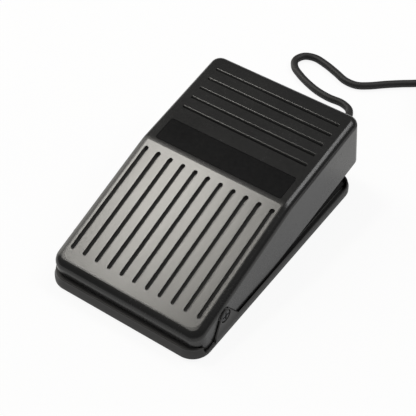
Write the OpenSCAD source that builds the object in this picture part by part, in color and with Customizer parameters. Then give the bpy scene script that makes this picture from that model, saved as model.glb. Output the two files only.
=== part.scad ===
// USB foot pedal switch: a rocker cover hinged near the front of a shallow tray, with a lever switch inside.
// X runs to the right, Y to the rear where the cord leaves, Z up. It stands on z = 0, unpressed, rear end up.

/* [Tray] */
// Length of the tray, front to rear
base_l = 100; // [92:0.5:110]
// Width of the tray
base_w = 63.6; // [58:0.2:72]
// Plan radius of the tray's corners
base_r = 7; // [4:0.5:10]
// Height of the tray's lip above the desk
lip_top = 4; // [3.6:0.1:4.2]
// Thickness of the lip
lip_t = 0.75; // [0.6:0.05:1.2]
// Height of the lip across the front
front_lip_top = 5; // [4.4:0.1:5.4]
// Thickness of the lip across the front
front_lip_t = 1.2; // [0.9:0.05:1.3]
// Thickness of the tray's floor
floor_t = 1.8; // [1.6:0.1:2.4]
// Thickness left under the gutter that the cover's skirt dips into
gutter_t = 0.7; // [0.5:0.05:0.9]
// Clear gap between the lip and the cover's skirt
lip_gap = 0.25; // [0.2:0.05:0.6]

/* [Cover] */
// How far the cover's front wall stands inside the tray's front
front_inset = 1.5; // [1.2:0.1:4]
// How far the cover's rear wall reaches past the tray
rear_overhang = 3; // [2.5:0.1:8]
// Height of the cover, from the skirt's edge to the rear top
cover_h = 21.5; // [19:0.5:28]
// Length of the sloping tread, front wall to crease
tread_l = 55; // [48:0.5:58]
// Slope of the tread against the rear top
tread_slope = 10; // [8:0.5:12]
// Wall thickness of the skirt
skirt_t = 2; // [1.6:0.1:2.4]
// Thickness of the cover's top
top_t = 2.6; // [2.2:0.1:3]
// Rounding of the cover's long top edges
edge_r = 2.25; // [1:0.25:3]
// Rounding of the cover's rear top edge
rear_edge_r = 3.2; // [1:0.2:5]
// Plan radius of the cover's front corners
front_corner_r = 5; // [3:0.5:8]
// Plan radius of the cover's rear corners
rear_corner_r = 4; // [3:0.5:6]

/* [Tread and label] */
// Distance from the tread plate to the cover's side
tread_side_margin = 2.8; // [2.4:0.1:5]
// Distance from the tread plate to the cover's front, along the slope
tread_front_margin = 2.75; // [2.2:0.05:6]
// Thickness of the tread plate
tread_plate_t = 1.2; // [0.8:0.1:1.4]
// Number of slots in the tread plate
slot_count = 11; // [7:2:11]
// Distance from the outer slots' centres to the tread plate's side
slot_side_margin = 1.8; // [1.6:0.1:4]
// Width of a slot
slot_w = 1.9; // [1.2:0.1:2.6]
// Distance from the slots' front centres to the tread plate's front
slot_front_margin = 5.3; // [3:0.1:9]
// Distance from the crease to the slots' rear centres
slot_from_crease = 3.8; // [2:0.1:5]
// Depth of a slot
slot_d = 1.8; // [1.5:0.1:2.2]
// Number of grooves across the rear top
groove_count = 5; // [3:1:5]
// Distance between grooves
groove_pitch = 5.19; // [4:0.01:5.5]
// Distance from the crease to the first groove
groove_from_crease = 18.45; // [17:0.05:20]
// Distance from a groove's end to the cover's side
groove_side_margin = 4.8; // [3:0.1:12]
// Width of a groove at the surface
groove_w = 1.5; // [0.8:0.1:2]
// Depth of a groove
groove_d = 0.9; // [0.4:0.1:1.2]
// Distance from the label plate to the cover's side
label_side_margin = 4.8; // [3:0.1:10]
// Length of the label plate along the cover
label_l = 10; // [8:0.5:13]
// Thickness of the label plate
label_t = 0.4; // [0.3:0.05:0.8]

/* [Hinge and travel] */
// Distance of the hinge from the tray's front
hinge_in = 16.5; // [14:0.1:18]
// Height of the hinge above the desk
hinge_z = 9.5; // [9.3:0.1:9.8]
// Height of the hinge above the skirt's edge
hinge_up = 8.55; // [8.2:0.05:8.8]
// Tilt of the unpressed cover
rest_tilt = 7.45; // [7:0.05:7.9]
// Turn of the cover when it is pressed home
travel = 5.1; // [4:0.1:5.2]
// Radius of the hinge screw's shoulder
pivot_r = 1.5; // [1.2:0.05:1.7]
// Radius of the hinge screw's head
pivot_head_r = 2.3; // [2.1:0.05:2.4]
// Radius of the ear round the screw head
ear_r = 3; // [2.85:0.05:3.3]

/* [Switch and board] */
// Length of the circuit board, front to rear
board_l = 40; // [38:0.5:42]
// Width of the circuit board
board_w = 34; // [32:0.5:40]
// Thickness of the circuit board
board_t = 1.6; // [1:0.1:1.8]
// Height of the pillars under the board
standoff_h = 1.5; // [1.4:0.1:1.8]
// Length of the switch case
switch_l = 20; // [19:0.2:20.4]
// Width of the switch case
switch_w = 6.4; // [6:0.1:8]
// Height of the switch case
switch_h = 9; // [8.4:0.1:9.2]
// Length of the switch lever
lever_l = 21; // [20:0.5:22]
// Rise of the unpressed lever towards its tip
lever_rise = 6; // [5.6:0.1:6.4]

/* [Springs and stops] */
// Distance of the return springs from the tray's rear
spring_in = 22; // [19:0.5:26]
// Distance of each return spring from the middle
spring_x = 13; // [12.5:0.5:20]
// Height of a return spring, unpressed
spring_h = 13.2; // [11:0.2:15]
// Mean radius of a return spring
spring_r = 4.2; // [3.8:0.1:4.8]
// Radius of the spring wire
spring_wire_r = 0.5; // [0.35:0.05:0.6]
// Number of turns of a return spring
spring_turns = 6; // [4:1:7]
// Height of a rubber bumper pad
pad_h = 2.1; // [1.5:0.1:2.6]
// Radius of a rubber bumper pad
pad_r = 4; // [3:0.25:5]
// Radius of a rubber foot
foot_r = 4.5; // [3:0.25:5]
// How far a rubber foot stands below the tray
foot_proud = 0.5; // [0.3:0.05:0.6]

/* [Cord] */
// Diameter of the cord
cord_d = 3; // [2.8:0.05:3.1]
// Place of the cord across the tray
cord_x = -8; // [-10:0.5:-6]
// Height of the cord where it leaves the tray
cord_z = 4.2; // [4:0.05:4.5]
// Length of the strain relief outside the tray
relief_l = 12; // [8:0.5:14]
// Distance between turns of the coiled cord, also between its layers
coil_pitch = 3.45; // [3.42:0.01:3.6]
// Radius of the coil's outer turn at its middle
coil_r = 21.5; // [20:0.1:24]

/* [Hidden] */
$fn = 48;
// Overlap that lets two joined bodies of one solid share volume, and reach of a cut past a face
sink = 0.6;
past = 5;
// Hair's breadth by which a trimming shape stands outside a flat wall
hair = 0.02;

// Heights on the tray
tray_z = foot_proud;
floor_z = tray_z + floor_t;
gutter_z = tray_z + gutter_t;

// Cover in its level frame: u along Y and w along Z from the hinge
cover_w = base_w - 2 * (lip_t + lip_gap);
side_x = cover_w / 2;
front_u = front_inset - hinge_in;
rear_u = base_l - hinge_in + rear_overhang;
crease_u = front_u + tread_l;
top_w = cover_h - hinge_up;
edge_w = -hinge_up;

// Tread plate, label and grooves, laid out from the cover's edges
crease_gap = 0.4;
tread_plate_w = cover_w - 2 * tread_side_margin;
tread_plate_l = tread_l / cos(tread_slope) - crease_gap - tread_front_margin;
slot_l = tread_plate_l + crease_gap - slot_from_crease - slot_front_margin;
slot_pitch = (tread_plate_w - 2 * slot_side_margin) / (slot_count - 1);
groove_l = cover_w - 2 * groove_side_margin;
label_w = cover_w - 2 * label_side_margin;
label_from_crease = 1.6;
recess_gap = 0.15;
// Gap of the resting skirt over the gutter, which stops the cover's rise, and where the skirt's edge is relieved
skirt_stop_gap = 0.3;
relief_u = 14;
skirt_front_w = (gutter_z + skirt_stop_gap - hinge_z - front_u * sin(rest_tilt)) / cos(rest_tilt);
skirt_hinge_w = edge_w + 0.55;

// The cover's rear edge at rest sets the middle of the whole object
hinge_from_middle = hinge_in - base_l / 2;
rear_y = hinge_from_middle + rear_u * cos(rest_tilt) - edge_w * sin(rest_tilt);
tray_y = (base_l / 2 - rear_y) / 2;
hinge_y = tray_y + hinge_from_middle;
tray_front = tray_y - base_l / 2;
tray_rear = tray_y + base_l / 2;

// Hinge pieces across the tray
lip_in_x = base_w / 2 - lip_t;
head_in_x = side_x + 0.15;
head_out_x = base_w / 2 - 0.2;
boss_l = 1.8;
boss_r = 3.2;
boss_in_x = side_x - skirt_t - boss_l;
post_x = boss_in_x - 0.4;
post_w = 4;
post_r = 2.6;
thread_r = 1.1;
thread_l = 3.6;
running_gap = 0.05;
fit_gap = 0.02;
head_gap = 0.1;
ear_front_flank = 22.9;
ear_rear_flank = 35;
notch_front = 4;

// Board, switch and lever
board_y = hinge_y + 27.5;
board_z = floor_z + standoff_h;
board_top = board_z + board_t;
board_hole_x = board_w / 2 - 3;
board_hole_y = board_l / 2 - 3;
screw_r = 1;
screw_head_r = 1.9;
screw_head_h = 1.3;
switch_y = hinge_y + 31;
switch_top = board_top + switch_h;
lever_y = switch_y + switch_l / 2 - 2;
lever_z = switch_top + 0.8;
lever_t = 0.5;
lever_w = 4;
lever_pin_r = 0.4;
lever_knuckle_r = 0.7;
plunger_arm = 5.5;
plunger_gap = 0.12;
plunger_slot_gap = 0.1;
actuator_y = hinge_y + 20;
actuator_r = 1;
actuator_gap = 0.2;

// Springs, bumpers and feet
spring_y = tray_rear - spring_in;
spring_top = floor_z + spring_h;
pad_in = 9;
pad_x = base_w / 2 - 9.8;
pad_y = tray_rear - pad_in;
pad_pin_r = 1.2;
pad_pin_gap = 0.05;
pad_top = floor_z + pad_h;
pad_gap = 0.4;
stop_r = 2.5;
foot_x = base_w / 2 - 9.3;
foot_in = 12;
foot_socket = 1;
foot_gap = 0.1;

// Cord, its gate in the tray and its clamp
cord_r = cord_d / 2;
gate_w = 9;
gate_l = 4;
gate_top = cord_z + 3.4;
relief_r = 2.5;
relief_end_r = 1.9;
relief_flange_r = 2.95;
relief_flange_t = 1.4;
relief_gap = 0.1;
relief_end_y = tray_rear + relief_l;
cord_end_y = spring_y + spring_r + spring_wire_r + 1.3;
clamp_y = tray_rear - 10;
clamp_x = 5.2;
clamp_l = 5;
clamp_t = 2.2;
clamp_z = cord_z + 0.4;

// Header for the cord's wires
header_x = 11 - board_w / 2;
header_y = board_y + board_l / 2 - 3.5;
header_w = 10;
header_l = 4.5;
header_h = 6.5;
header_wall = 0.6;
plug_gap = 0.1;
header_plug_h = 5;
wire_r = 0.45;
wire_pitch = 2;

// Free cord: from the strain relief along the desk to the coil, points in the part's own frame
tie_t = 0.5;
desk_z = cord_r;
coil_z = cord_r + tie_t + 0.1;
coil_at = [54, 109];
coil_start = 128;
coil_whole_turns = 12;
coil_layers = 4;
cord_route = [[cord_x, relief_end_y, cord_z], [-8, 63, cord_z], [-8, 66, 3.6], [-6.4, 69.4, 2.4],
              [-3, 71.4, desk_z], [1, 71.8, desk_z], [5, 71.5, desk_z], [9.2, 72.9, desk_z],
              [11.2, 77, desk_z], [9.4, 81.2, desk_z], [5.2, 83, desk_z], [-0.5, 82.8, desk_z],
              [-6.5, 83.6, desk_z], [-12.5, 85.6, desk_z], [-17.5, 88, desk_z], [-21.5, 90.7, desk_z],
              [-23.6, 94.6, desk_z], [-22, 98.6, desk_z], [-17.8, 100.2, desk_z], [-12, 99.2, desk_z],
              [-6, 97.2, desk_z], [-0.5, 95.2, desk_z], [4.4, 95.4, desk_z], [8.6, 98, desk_z],
              [13.5, 102.4, desk_z], [18.5, 106.5, desk_z], [23.5, 110.3, desk_z], [29.5, 115.8, desk_z + 0.1]];

// USB plug beside the coil
plug_y = coil_at[1] - 29;
plug_z = 4.4;
grip_w = 15.6;
grip_l = 24;
grip_h = 7.8;
grip_neck_l = 8;
shell_w = 12;
shell_l = 12;
shell_h = 4.5;
shell_t = 0.3;
shell_in_grip = 4;
tongue_t = 1.9;
contact_w = 1;
contact_pitch = 2.3;

// Colours
black_plastic = [0.07, 0.07, 0.07];
tray_plastic = [0.09, 0.09, 0.09];
silver_grey = [0.62, 0.61, 0.58];
steel = [0.7, 0.7, 0.72];
rubber_black = [0.04, 0.04, 0.04];
board_green = [0.05, 0.3, 0.15];
gold = [0.8, 0.65, 0.3];

function unit(v) = v / norm(v);
function lerp(a, b, t) = a + (b - a) * t;
function eased(t) = t * t * (3 - 2 * t);

// Direction of a path at point i; ends look along their own stretch
function heading(path, i) =
    let (a = path[max(i - 1, 0)], b = path[min(i + 1, len(path) - 1)])
    unit(b - a);

// Ring of a round tube about point p, square to direction t
function ring(p, t, r, sides, ref) =
    let (s = unit(cross(t, ref)), n = cross(s, t))
    [for (k = [0:sides - 1]) p + r * (cos(360 * k / sides) * s + sin(360 * k / sides) * n)];

// Least clear gap between stretches of a tube that lie more than skip points apart along it
function self_gap(path, r, skip) =
    min([for (i = [0:len(path) - 1 - skip]) for (j = [i + skip:len(path) - 1]) norm(path[i] - path[j])]) - 2 * r;

// Closed round tube along a path, with flat ends
module tube(path, r, sides, ref = [0, 0, 1]) {
    last = len(path) - 1;
    rings = [for (i = [0:last]) ring(path[i], heading(path, i), r, sides, ref)];
    points = [for (one = rings) for (p = one) p];
    walls = [for (i = [0:last - 1]) for (k = [0:sides - 1])
             let (a = i * sides + k, b = i * sides + (k + 1) % sides)
             each [[a, b, a + sides], [b, b + sides, a + sides]]];
    near = [for (k = [1:sides - 2]) [0, k + 1, k]];
    far = [for (k = [1:sides - 2]) [last * sides, last * sides + k, last * sides + k + 1]];
    polyhedron(points, concat(walls, near, far));
}

// Path of a coil spring standing on z, with level ends
function spring_path(x, y, z, h, r, wire, turns) =
    [for (i = [0:8 * turns])
     [x + r * cos(45 * i), y + r * sin(45 * i), z + wire + (h - 2 * wire) * i / (8 * turns)]];

// Coil of the cord: in on one layer, out on the next, climbing in the half turn where it reverses
coil_turns = coil_whole_turns + coil_start / 360;
layer_turns = coil_turns / coil_layers;
function coil_fold(t) = let (u = t - 2 * layer_turns * floor(t / (2 * layer_turns))) min(u, 2 * layer_turns - u);
function coil_radius(t) = coil_r - coil_pitch * coil_fold(t);
function climbed(t, k) = eased(min(max((t - k * layer_turns) / 0.5 + 0.5, 0), 1));
function coil_height(t) =
    coil_z + coil_pitch * ([for (k = [1:coil_layers - 1]) 1] * [for (k = [1:coil_layers - 1]) climbed(t, k)]);
function coil_point(t) =
    let (a = coil_start - 360 * t)
    [coil_at[0] + coil_radius(t) * cos(a), coil_at[1] + coil_radius(t) * sin(a), coil_height(t)];
coil_in = [sin(coil_start), -cos(coil_start), 0];
coil_out = [0, -1, 0];
coil_steps = ceil(24 * coil_turns);
coil_path = concat([coil_point(0) - cord_d * coil_in],
                   [for (i = [0:coil_steps]) coil_point(coil_turns * i / coil_steps)],
                   [coil_point(coil_turns) + cord_d * coil_out]);
coil_last = coil_path[len(coil_path) - 1];
coil_first = coil_path[0];
cord_run = concat(cord_route, [coil_first - cord_d * coil_in, coil_first]);
tail_end = [coil_last[0], plug_y, plug_z];
tail_steps = 5;
tail_from = coil_last[1] - cord_d;
cord_tail = concat([coil_last],
                   [for (i = [0:tail_steps])
                    [coil_last[0], lerp(tail_from, plug_y + cord_d, i / tail_steps),
                     lerp(coil_last[2], plug_z, eased(i / tail_steps))]],
                   [tail_end]);
function path_length(path) = let (n = len(path)) [for (i = [0:n - 2]) 1] * [for (i = [0:n - 2]) norm(path[i + 1] - path[i])];
echo(coil_gap = self_gap(coil_path, cord_r, 12));
echo(spring_gap = self_gap(spring_path(0, 0, 0, spring_h, spring_r, spring_wire_r, spring_turns), spring_wire_r, 5));
echo(cord_length = path_length(cord_run) + path_length(coil_path) + path_length(cord_tail));

// Rectangle with round corners of radius a towards -Y and b towards +Y, centred across X, from y0 to y1
module rounded_plan(w, y0, y1, a, b) {
    union() {
        for (s = [-1, 1]) {
            translate([s * (w / 2 - a), y0 + a]) circle(a);
            translate([s * (w / 2 - b), y1 - b]) circle(b);
        }
        translate([-w / 2, y0 + a]) square([w, y1 - y0 - a - b]);
        translate([-w / 2 + a, y0]) square([w - 2 * a, (y1 - y0) / 2]);
        translate([-w / 2 + b, (y0 + y1) / 2]) square([w - 2 * b, (y1 - y0) / 2]);
    }
}

// Box between two corners
module block(low, high) {
    translate(low) cube(high - low);
}

// Cylinder along X from x0 to x1 at height z
module rod_x(x0, x1, y, z, r) {
    translate([x0, y, z]) rotate([0, 90, 0]) cylinder(h = x1 - x0, r = r);
}

// Cylinder along Y from y0 to y1
module rod_y(x, y0, y1, z, r0, r1) {
    translate([x, y0, z]) rotate([-90, 0, 0]) cylinder(h = y1 - y0, r1 = r0, r2 = r1);
}

// Standing cylinder
module pillar(x, y, z0, z1, r) {
    translate([x, y, z0]) cylinder(h = z1 - z0, r = r);
}

// Side outline, in Y and Z, drawn out across X
module across_x(x0, x1) {
    translate([x0, 0, 0]) rotate([90, 0, 90]) linear_extrude(x1 - x0) children();
}

// Both sides of the object
module both_sides() {
    children();
    mirror([1, 0, 0]) children();
}

// Places the level cover at its resting tilt about the hinge
module at_rest() {
    translate([0, hinge_y, hinge_z]) rotate([rest_tilt, 0, 0]) children();
}

// Places what lies on the sloping tread: y runs from the crease, negative to the front, z out of the surface
module on_tread() {
    translate([0, crease_u, top_w]) rotate([tread_slope, 0, 0]) children();
}

// Places what lies on the level rear top: y from the crease to the rear
module on_rear_top() {
    translate([0, crease_u, top_w]) children();
}

module ear_outline() {
    fy = ear_r * cos(ear_front_flank);
    fz = ear_r * sin(ear_front_flank);
    ry = ear_r * cos(ear_rear_flank);
    rz = ear_r * sin(ear_rear_flank);
    drop = hinge_z - floor_z;
    translate([hinge_y, hinge_z])
        polygon(concat(arc([0, 0], ear_r, ear_rear_flank, 180 - ear_front_flank, 16),
                       [[-fy - (fz + drop) * tan(ear_front_flank), -drop],
                        [ry + (rz + drop) * tan(ear_rear_flank), -drop]]));
}

// Plan of the tray's inside
module tray_inside() {
    front_r = front_corner_r + lip_gap - 0.05;
    rounded_plan(base_w - 2 * lip_t, tray_front + front_lip_t, tray_rear - lip_t, front_r, base_r - lip_t);
}

module tray_shell() {
    difference() {
        translate([0, 0, tray_z]) linear_extrude(front_lip_top - tray_z)
            rounded_plan(base_w, tray_front, tray_rear, base_r, base_r);
        block([-base_w, tray_front + notch_front, lip_top], [base_w, tray_rear + past, front_lip_top + past]);
        translate([0, 0, floor_z]) linear_extrude(front_lip_top)
            tray_inside();
        gutter();
    }
}

// Channel in the floor, along both sides and the front, that the cover's skirt dips into
module gutter() {
    channel_x = side_x - skirt_t - 0.4;
    channel_y = tray_front + front_inset + skirt_t + 2.6;
    difference() {
        translate([0, 0, gutter_z]) linear_extrude(lip_top)
            tray_inside();
        block([-channel_x, channel_y, tray_z], [channel_x, tray_rear, lip_top + past]);
    }
}

// Opening in the lip before each ear, where the skirt shows
module lip_notch() {
    notch_z = floor_z - 0.3;
    across_x(lip_in_x - 0.05, base_w / 2 + past) difference() {
        translate([tray_front + notch_front, notch_z]) square([hinge_y - tray_front - notch_front, lip_top]);
        translate([0, notch_z - floor_z]) ear_outline();
    }
}

// Fixed inner post that takes the hinge screw's thread
module hinge_post() {
    difference() {
        across_x(post_x - post_w, post_x) {
            translate([hinge_y, hinge_z]) circle(post_r);
            translate([hinge_y - post_r, floor_z - sink]) square([2 * post_r, hinge_z - floor_z + sink]);
        }
        rod_x(post_x - thread_l - 0.2, post_x + past, hinge_y, hinge_z, thread_r + fit_gap);
    }
}

module base_tray() {
    color(tray_plastic) difference() {
        union() {
            difference() {
                tray_shell();
                both_sides() lip_notch();
            }
            both_sides() {
                across_x(lip_in_x, base_w / 2) ear_outline();
                hinge_post();
            }
            for (sx = [-1, 1]) {
                for (sy = [-1, 1])
                    pillar(sx * board_hole_x, board_y + sy * board_hole_y, floor_z - sink, board_z, 2.2);
                pillar(sx * spring_x, spring_y, floor_z - sink, floor_z + 4, spring_r - spring_wire_r - 0.5);
                pillar(sx * pad_x, pad_y, floor_z - sink, floor_z + pad_h - 0.6, pad_pin_r);
                pillar(cord_x + sx * clamp_x, clamp_y, floor_z - sink, clamp_z, 2.2);
            }
            block([cord_x - gate_w / 2, tray_rear - gate_l, floor_z - sink], [cord_x + gate_w / 2, tray_rear, gate_top]);
        }
        both_sides() rod_x(lip_in_x - head_gap, base_w, hinge_y, hinge_z, pivot_head_r + head_gap);
        rod_y(cord_x, tray_rear - gate_l - past, tray_rear + past, cord_z, relief_r + fit_gap, relief_r + fit_gap);
        rod_y(cord_x, tray_rear - gate_l - relief_flange_t - relief_gap, tray_rear - gate_l, cord_z,
              relief_flange_r + relief_gap, relief_flange_r + relief_gap);
        for (sx = [-1, 1]) {
            for (sy = [-1, 1])
                pillar(sx * board_hole_x, board_y + sy * board_hole_y, board_z - 2.2, board_z + past, screw_r + fit_gap);
            for (y = [tray_front + foot_in, tray_rear - foot_in])
                pillar(sx * foot_x, y, -past, tray_z + foot_socket, foot_r + foot_gap);
            pillar(cord_x + sx * clamp_x, clamp_y, clamp_z - 3, clamp_z + past, screw_r + fit_gap);
        }
    }
}

module rubber_feet() {
    color(rubber_black) for (sx = [-1, 1])
        for (y = [tray_front + foot_in, tray_rear - foot_in])
            pillar(sx * foot_x, y, 0, tray_z + foot_socket, foot_r);
}

module hinge_screws() {
    slot_t = 0.7;
    slot_depth = 0.35;
    color(steel) both_sides() difference() {
        union() {
            rod_x(head_in_x, head_out_x, hinge_y, hinge_z, pivot_head_r);
            rod_x(post_x, head_in_x + 0.1, hinge_y, hinge_z, pivot_r);
            rod_x(post_x - thread_l, post_x + 0.1, hinge_y, hinge_z, thread_r);
        }
        for (a = [0, 90]) translate([head_out_x, hinge_y, hinge_z]) rotate([a, 0, 0])
            cube([2 * slot_depth, 3, slot_t], center = true);
    }
}

// Points of an arc about c, from angle a0 to a1 in n steps
function arc(c, r, a0, a1, n) = [for (i = [0:n]) c + r * [cos(lerp(a0, a1, i / n)), sin(lerp(a0, a1, i / n))]];

// Side outline of the cover; an inset above zero gives its hollow, open below
module cover_side_outline(inset) {
    hollow = inset > 0;
    round_f = max(edge_r - inset, 0.4);
    round_r = max(rear_edge_r - inset, 0.4);
    f = front_u + inset;
    r = rear_u - inset;
    t = top_w - (hollow ? top_t : 0);
    c = crease_u + (hollow ? top_t * tan(tread_slope / 2) : 0);
    ft = t - (c - f) * tan(tread_slope);
    set_f = round_f * tan((90 - tread_slope) / 2);
    low = hollow ? edge_w - past : edge_w;
    front_arc = arc([f + round_f, ft - set_f], round_f, 180, 90 + tread_slope, 8);
    rear_arc = arc([r - round_r, t - round_r], round_r, 90, 0, 8);
    lower = hollow ? [[r, low], [f, low]] : [[r, low], [relief_u, low], [0, skirt_hinge_w], [f, skirt_front_w]];
    polygon(concat(front_arc, [[c, t]], rear_arc, lower));
}

// Cross section whose two upper corners are round, its top at zero
module round_topped(w, h, r) {
    union() {
        for (s = [-1, 1]) translate([s * (w / 2 - r), -r]) circle(r);
        translate([-w / 2, -h]) square([w, h - r]);
        translate([-w / 2 + r, -h]) square([w - 2 * r, h]);
    }
}

// Bar of that cross section along Y, long enough for the whole cover
module long_bar() {
    translate([0, base_l, 0]) rotate([90, 0, 0]) linear_extrude(2 * base_l)
        round_topped(cover_w, 2 * cover_h, edge_r);
}

module cover_shell() {
    difference() {
        intersection() {
            across_x(-base_w, base_w) cover_side_outline(0);
            translate([0, 0, edge_w - past]) linear_extrude(cover_h + 2 * past)
                rounded_plan(cover_w + 2 * hair, front_u - hair, rear_u + hair, front_corner_r, rear_corner_r);
            on_tread() long_bar();
            on_rear_top() long_bar();
        }
        intersection() {
            across_x(-base_w, base_w) cover_side_outline(skirt_t);
            translate([0, 0, edge_w - 2 * past]) linear_extrude(cover_h + 2 * past)
                rounded_plan(cover_w - 2 * skirt_t, front_u + skirt_t, rear_u - skirt_t,
                             front_corner_r - skirt_t, rear_corner_r - skirt_t);
        }
    }
}

// Slots of the tread, as cutters from depth d up through the surface
module tread_slots(d) {
    for (i = [0:slot_count - 1]) translate([(i - (slot_count - 1) / 2) * slot_pitch, -slot_from_crease, -d]) {
        cylinder(h = d + past, r = slot_w / 2);
        translate([0, -slot_l, 0]) cylinder(h = d + past, r = slot_w / 2);
        translate([-slot_w / 2, -slot_l, 0]) cube([slot_w, slot_l, d + past]);
    }
}

// Outline of the tread plate, grown by g on every side
module tread_outline(g) {
    rounded_plan(tread_plate_w + 2 * g, -tread_plate_l - crease_gap - g, g - crease_gap, 3.5 + g, 0.6 + g);
}

module label_outline(g) {
    rounded_plan(label_w + 2 * g, label_from_crease - g, label_from_crease + label_l + g, 0.6 + g, 0.6 + g);
}

module grooves() {
    for (i = [0:groove_count - 1])
        translate([-groove_l / 2, groove_from_crease + i * groove_pitch, 0]) rotate([90, 0, 90])
            linear_extrude(groove_l) polygon([[-groove_w / 2 - 0.1, 0.1], [-0.1, -groove_d], [0.1, -groove_d],
                                              [groove_w / 2 + 0.1, 0.1]]);
}

// Underside of the cover's top at rest, at a place y on the tread or the rear top
function level_u(y) = (y - hinge_y) / cos(rest_tilt);
function under_tread(y) =
    let (c = [hinge_y + crease_u * cos(rest_tilt) - top_w * sin(rest_tilt),
              hinge_z + crease_u * sin(rest_tilt) + top_w * cos(rest_tilt)])
    c[1] - (c[0] - y) * tan(rest_tilt + tread_slope) - top_t / cos(rest_tilt + tread_slope);
function under_rear(y) =
    let (c = [hinge_y + crease_u * cos(rest_tilt) - top_w * sin(rest_tilt),
              hinge_z + crease_u * sin(rest_tilt) + top_w * cos(rest_tilt)])
    c[1] + (y - c[0]) * tan(rest_tilt) - top_t / cos(rest_tilt);

// Resting height, at place y, of what meets height z when the cover is pressed home
function unpressed(y, z) = hinge_z + (z - hinge_z) / cos(travel) + (y - hinge_y) * tan(travel);

module actuator() {
    tip_z = lever_z + (lever_y - actuator_y) * tan(lever_rise)
            + (lever_t / 2 + actuator_gap + actuator_r) / cos(lever_rise);
    rod_x(-3, 3, actuator_y, tip_z, actuator_r);
    block([-3, actuator_y - actuator_r, tip_z], [3, actuator_y + actuator_r, under_tread(actuator_y) + sink]);
}

module spring_seat() {
    seat_r = spring_r + spring_wire_r + 1.1;
    pillar(spring_x, spring_y, spring_top + 0.1, under_rear(spring_y) + sink, seat_r);
    pillar(spring_x, spring_y, spring_top - 2.9, spring_top + 0.2, spring_r - spring_wire_r - 1.1);
}

module stop_post() {
    low = unpressed(pad_y, pad_top + pad_gap);
    pillar(pad_x, pad_y, low, under_rear(pad_y) + sink, stop_r);
}

module pedal_cover() {
    notch_h = 3.6;
    color(black_plastic) difference() {
        union() {
            at_rest() {
                cover_shell();
                both_sides() rod_x(boss_in_x, side_x - skirt_t + sink, 0, 0, boss_r);
            }
            actuator();
            both_sides() {
                spring_seat();
                stop_post();
            }
        }
        at_rest() {
            both_sides() rod_x(boss_in_x - past, side_x + past, 0, 0, pivot_r + running_gap);
            on_tread() {
                translate([0, 0, -tread_plate_t]) linear_extrude(past) tread_outline(recess_gap);
                tread_slots(slot_d);
            }
            on_rear_top() {
                grooves();
                translate([0, 0, -label_t]) linear_extrude(past) label_outline(recess_gap);
            }
            block([cord_x - relief_r - 1.4, rear_u - skirt_t - 1, edge_w - past],
                  [cord_x + relief_r + 1.4, rear_u + past, edge_w + notch_h]);
        }
    }
}

module tread_plate() {
    color(silver_grey) at_rest() on_tread() difference() {
        translate([0, 0, -tread_plate_t]) linear_extrude(tread_plate_t) tread_outline(0);
        tread_slots(slot_d);
    }
}

module label_plate() {
    color([0.05, 0.05, 0.055]) at_rest() on_rear_top()
        translate([0, 0, -label_t]) linear_extrude(label_t) label_outline(0);
}

module return_springs() {
    color(steel) both_sides()
        tube(spring_path(spring_x, spring_y, floor_z, spring_h, spring_r, spring_wire_r, spring_turns),
             spring_wire_r, 6);
}

module bumper_pads() {
    color(rubber_black) both_sides() difference() {
        pillar(pad_x, pad_y, floor_z, pad_top, pad_r);
        pillar(pad_x, pad_y, floor_z - past, pad_top + past, pad_pin_r + pad_pin_gap);
    }
}

module circuit_board() {
    color(board_green) difference() {
        translate([0, 0, board_z]) linear_extrude(board_t)
            rounded_plan(board_w, board_y - board_l / 2, board_y + board_l / 2, 1.5, 1.5);
        for (sx = [-1, 1])
            for (sy = [-1, 1])
                pillar(sx * board_hole_x, board_y + sy * board_hole_y, 0, board_top + past, screw_r + 0.1);
        for (y = terminal_places()) pillar(0, y, 0, board_top + past, 0.55);
        for (i = [0:3]) pillar(header_x + (i - 1.5) * wire_pitch, header_y, 0, board_top + past, 0.45);
    }
}

function terminal_places() = [for (i = [-1:1]) switch_y + i * (switch_l / 2 - 2.5)];

module machine_screw(x, y, seat, length) {
    difference() {
        union() {
            pillar(x, y, seat, seat + screw_head_h, screw_head_r);
            pillar(x, y, seat - length, seat + 0.1, screw_r);
        }
        for (a = [0, 90]) translate([x, y, seat + screw_head_h]) rotate([0, 0, a])
            cube([2.4, 0.6, 1.2], center = true);
    }
}

module board_screws() {
    color(steel) for (sx = [-1, 1])
        for (sy = [-1, 1])
            machine_screw(sx * board_hole_x, board_y + sy * board_hole_y, board_top, board_t + 2);
}

module switch_case() {
    ear_t = 0.7;
    ear_l = 2.4;
    color([0.1, 0.1, 0.11]) difference() {
        union() {
            block([-switch_w / 2, switch_y - switch_l / 2, board_top], [switch_w / 2, switch_y + switch_l / 2, switch_top]);
            both_sides() difference() {
                block([switch_w / 2 - ear_t, lever_y - ear_l / 2, switch_top - sink],
                      [switch_w / 2, lever_y + ear_l / 2, lever_z + 1.1]);
                rod_x(0, switch_w, lever_y, lever_z, lever_pin_r + running_gap);
            }
        }
        translate([0, lever_y - plunger_arm, switch_top])
            cube([3 + 2 * plunger_slot_gap, 1.4 + 2 * plunger_slot_gap, 4], center = true);
        for (y = [switch_y - 4.75, switch_y + 4.75])
            rod_x(-switch_w, switch_w, y, board_top + 2.4, 1.1);
    }
}

module switch_terminals() {
    color(gold) for (y = terminal_places()) pillar(0, y, board_z - 1.1, board_top, 0.45);
}

module switch_lever() {
    ear_in = switch_w / 2 - 0.7 - 0.2;
    color(steel) union() {
        rod_x(-ear_in, ear_in, lever_y, lever_z, lever_knuckle_r);
        rod_x(-switch_w / 2, switch_w / 2, lever_y, lever_z, lever_pin_r);
        translate([0, lever_y, lever_z]) rotate([-lever_rise, 0, 0])
            block([-lever_w / 2, -lever_l, -lever_t / 2], [lever_w / 2, 0, lever_t / 2]);
    }
}

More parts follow.
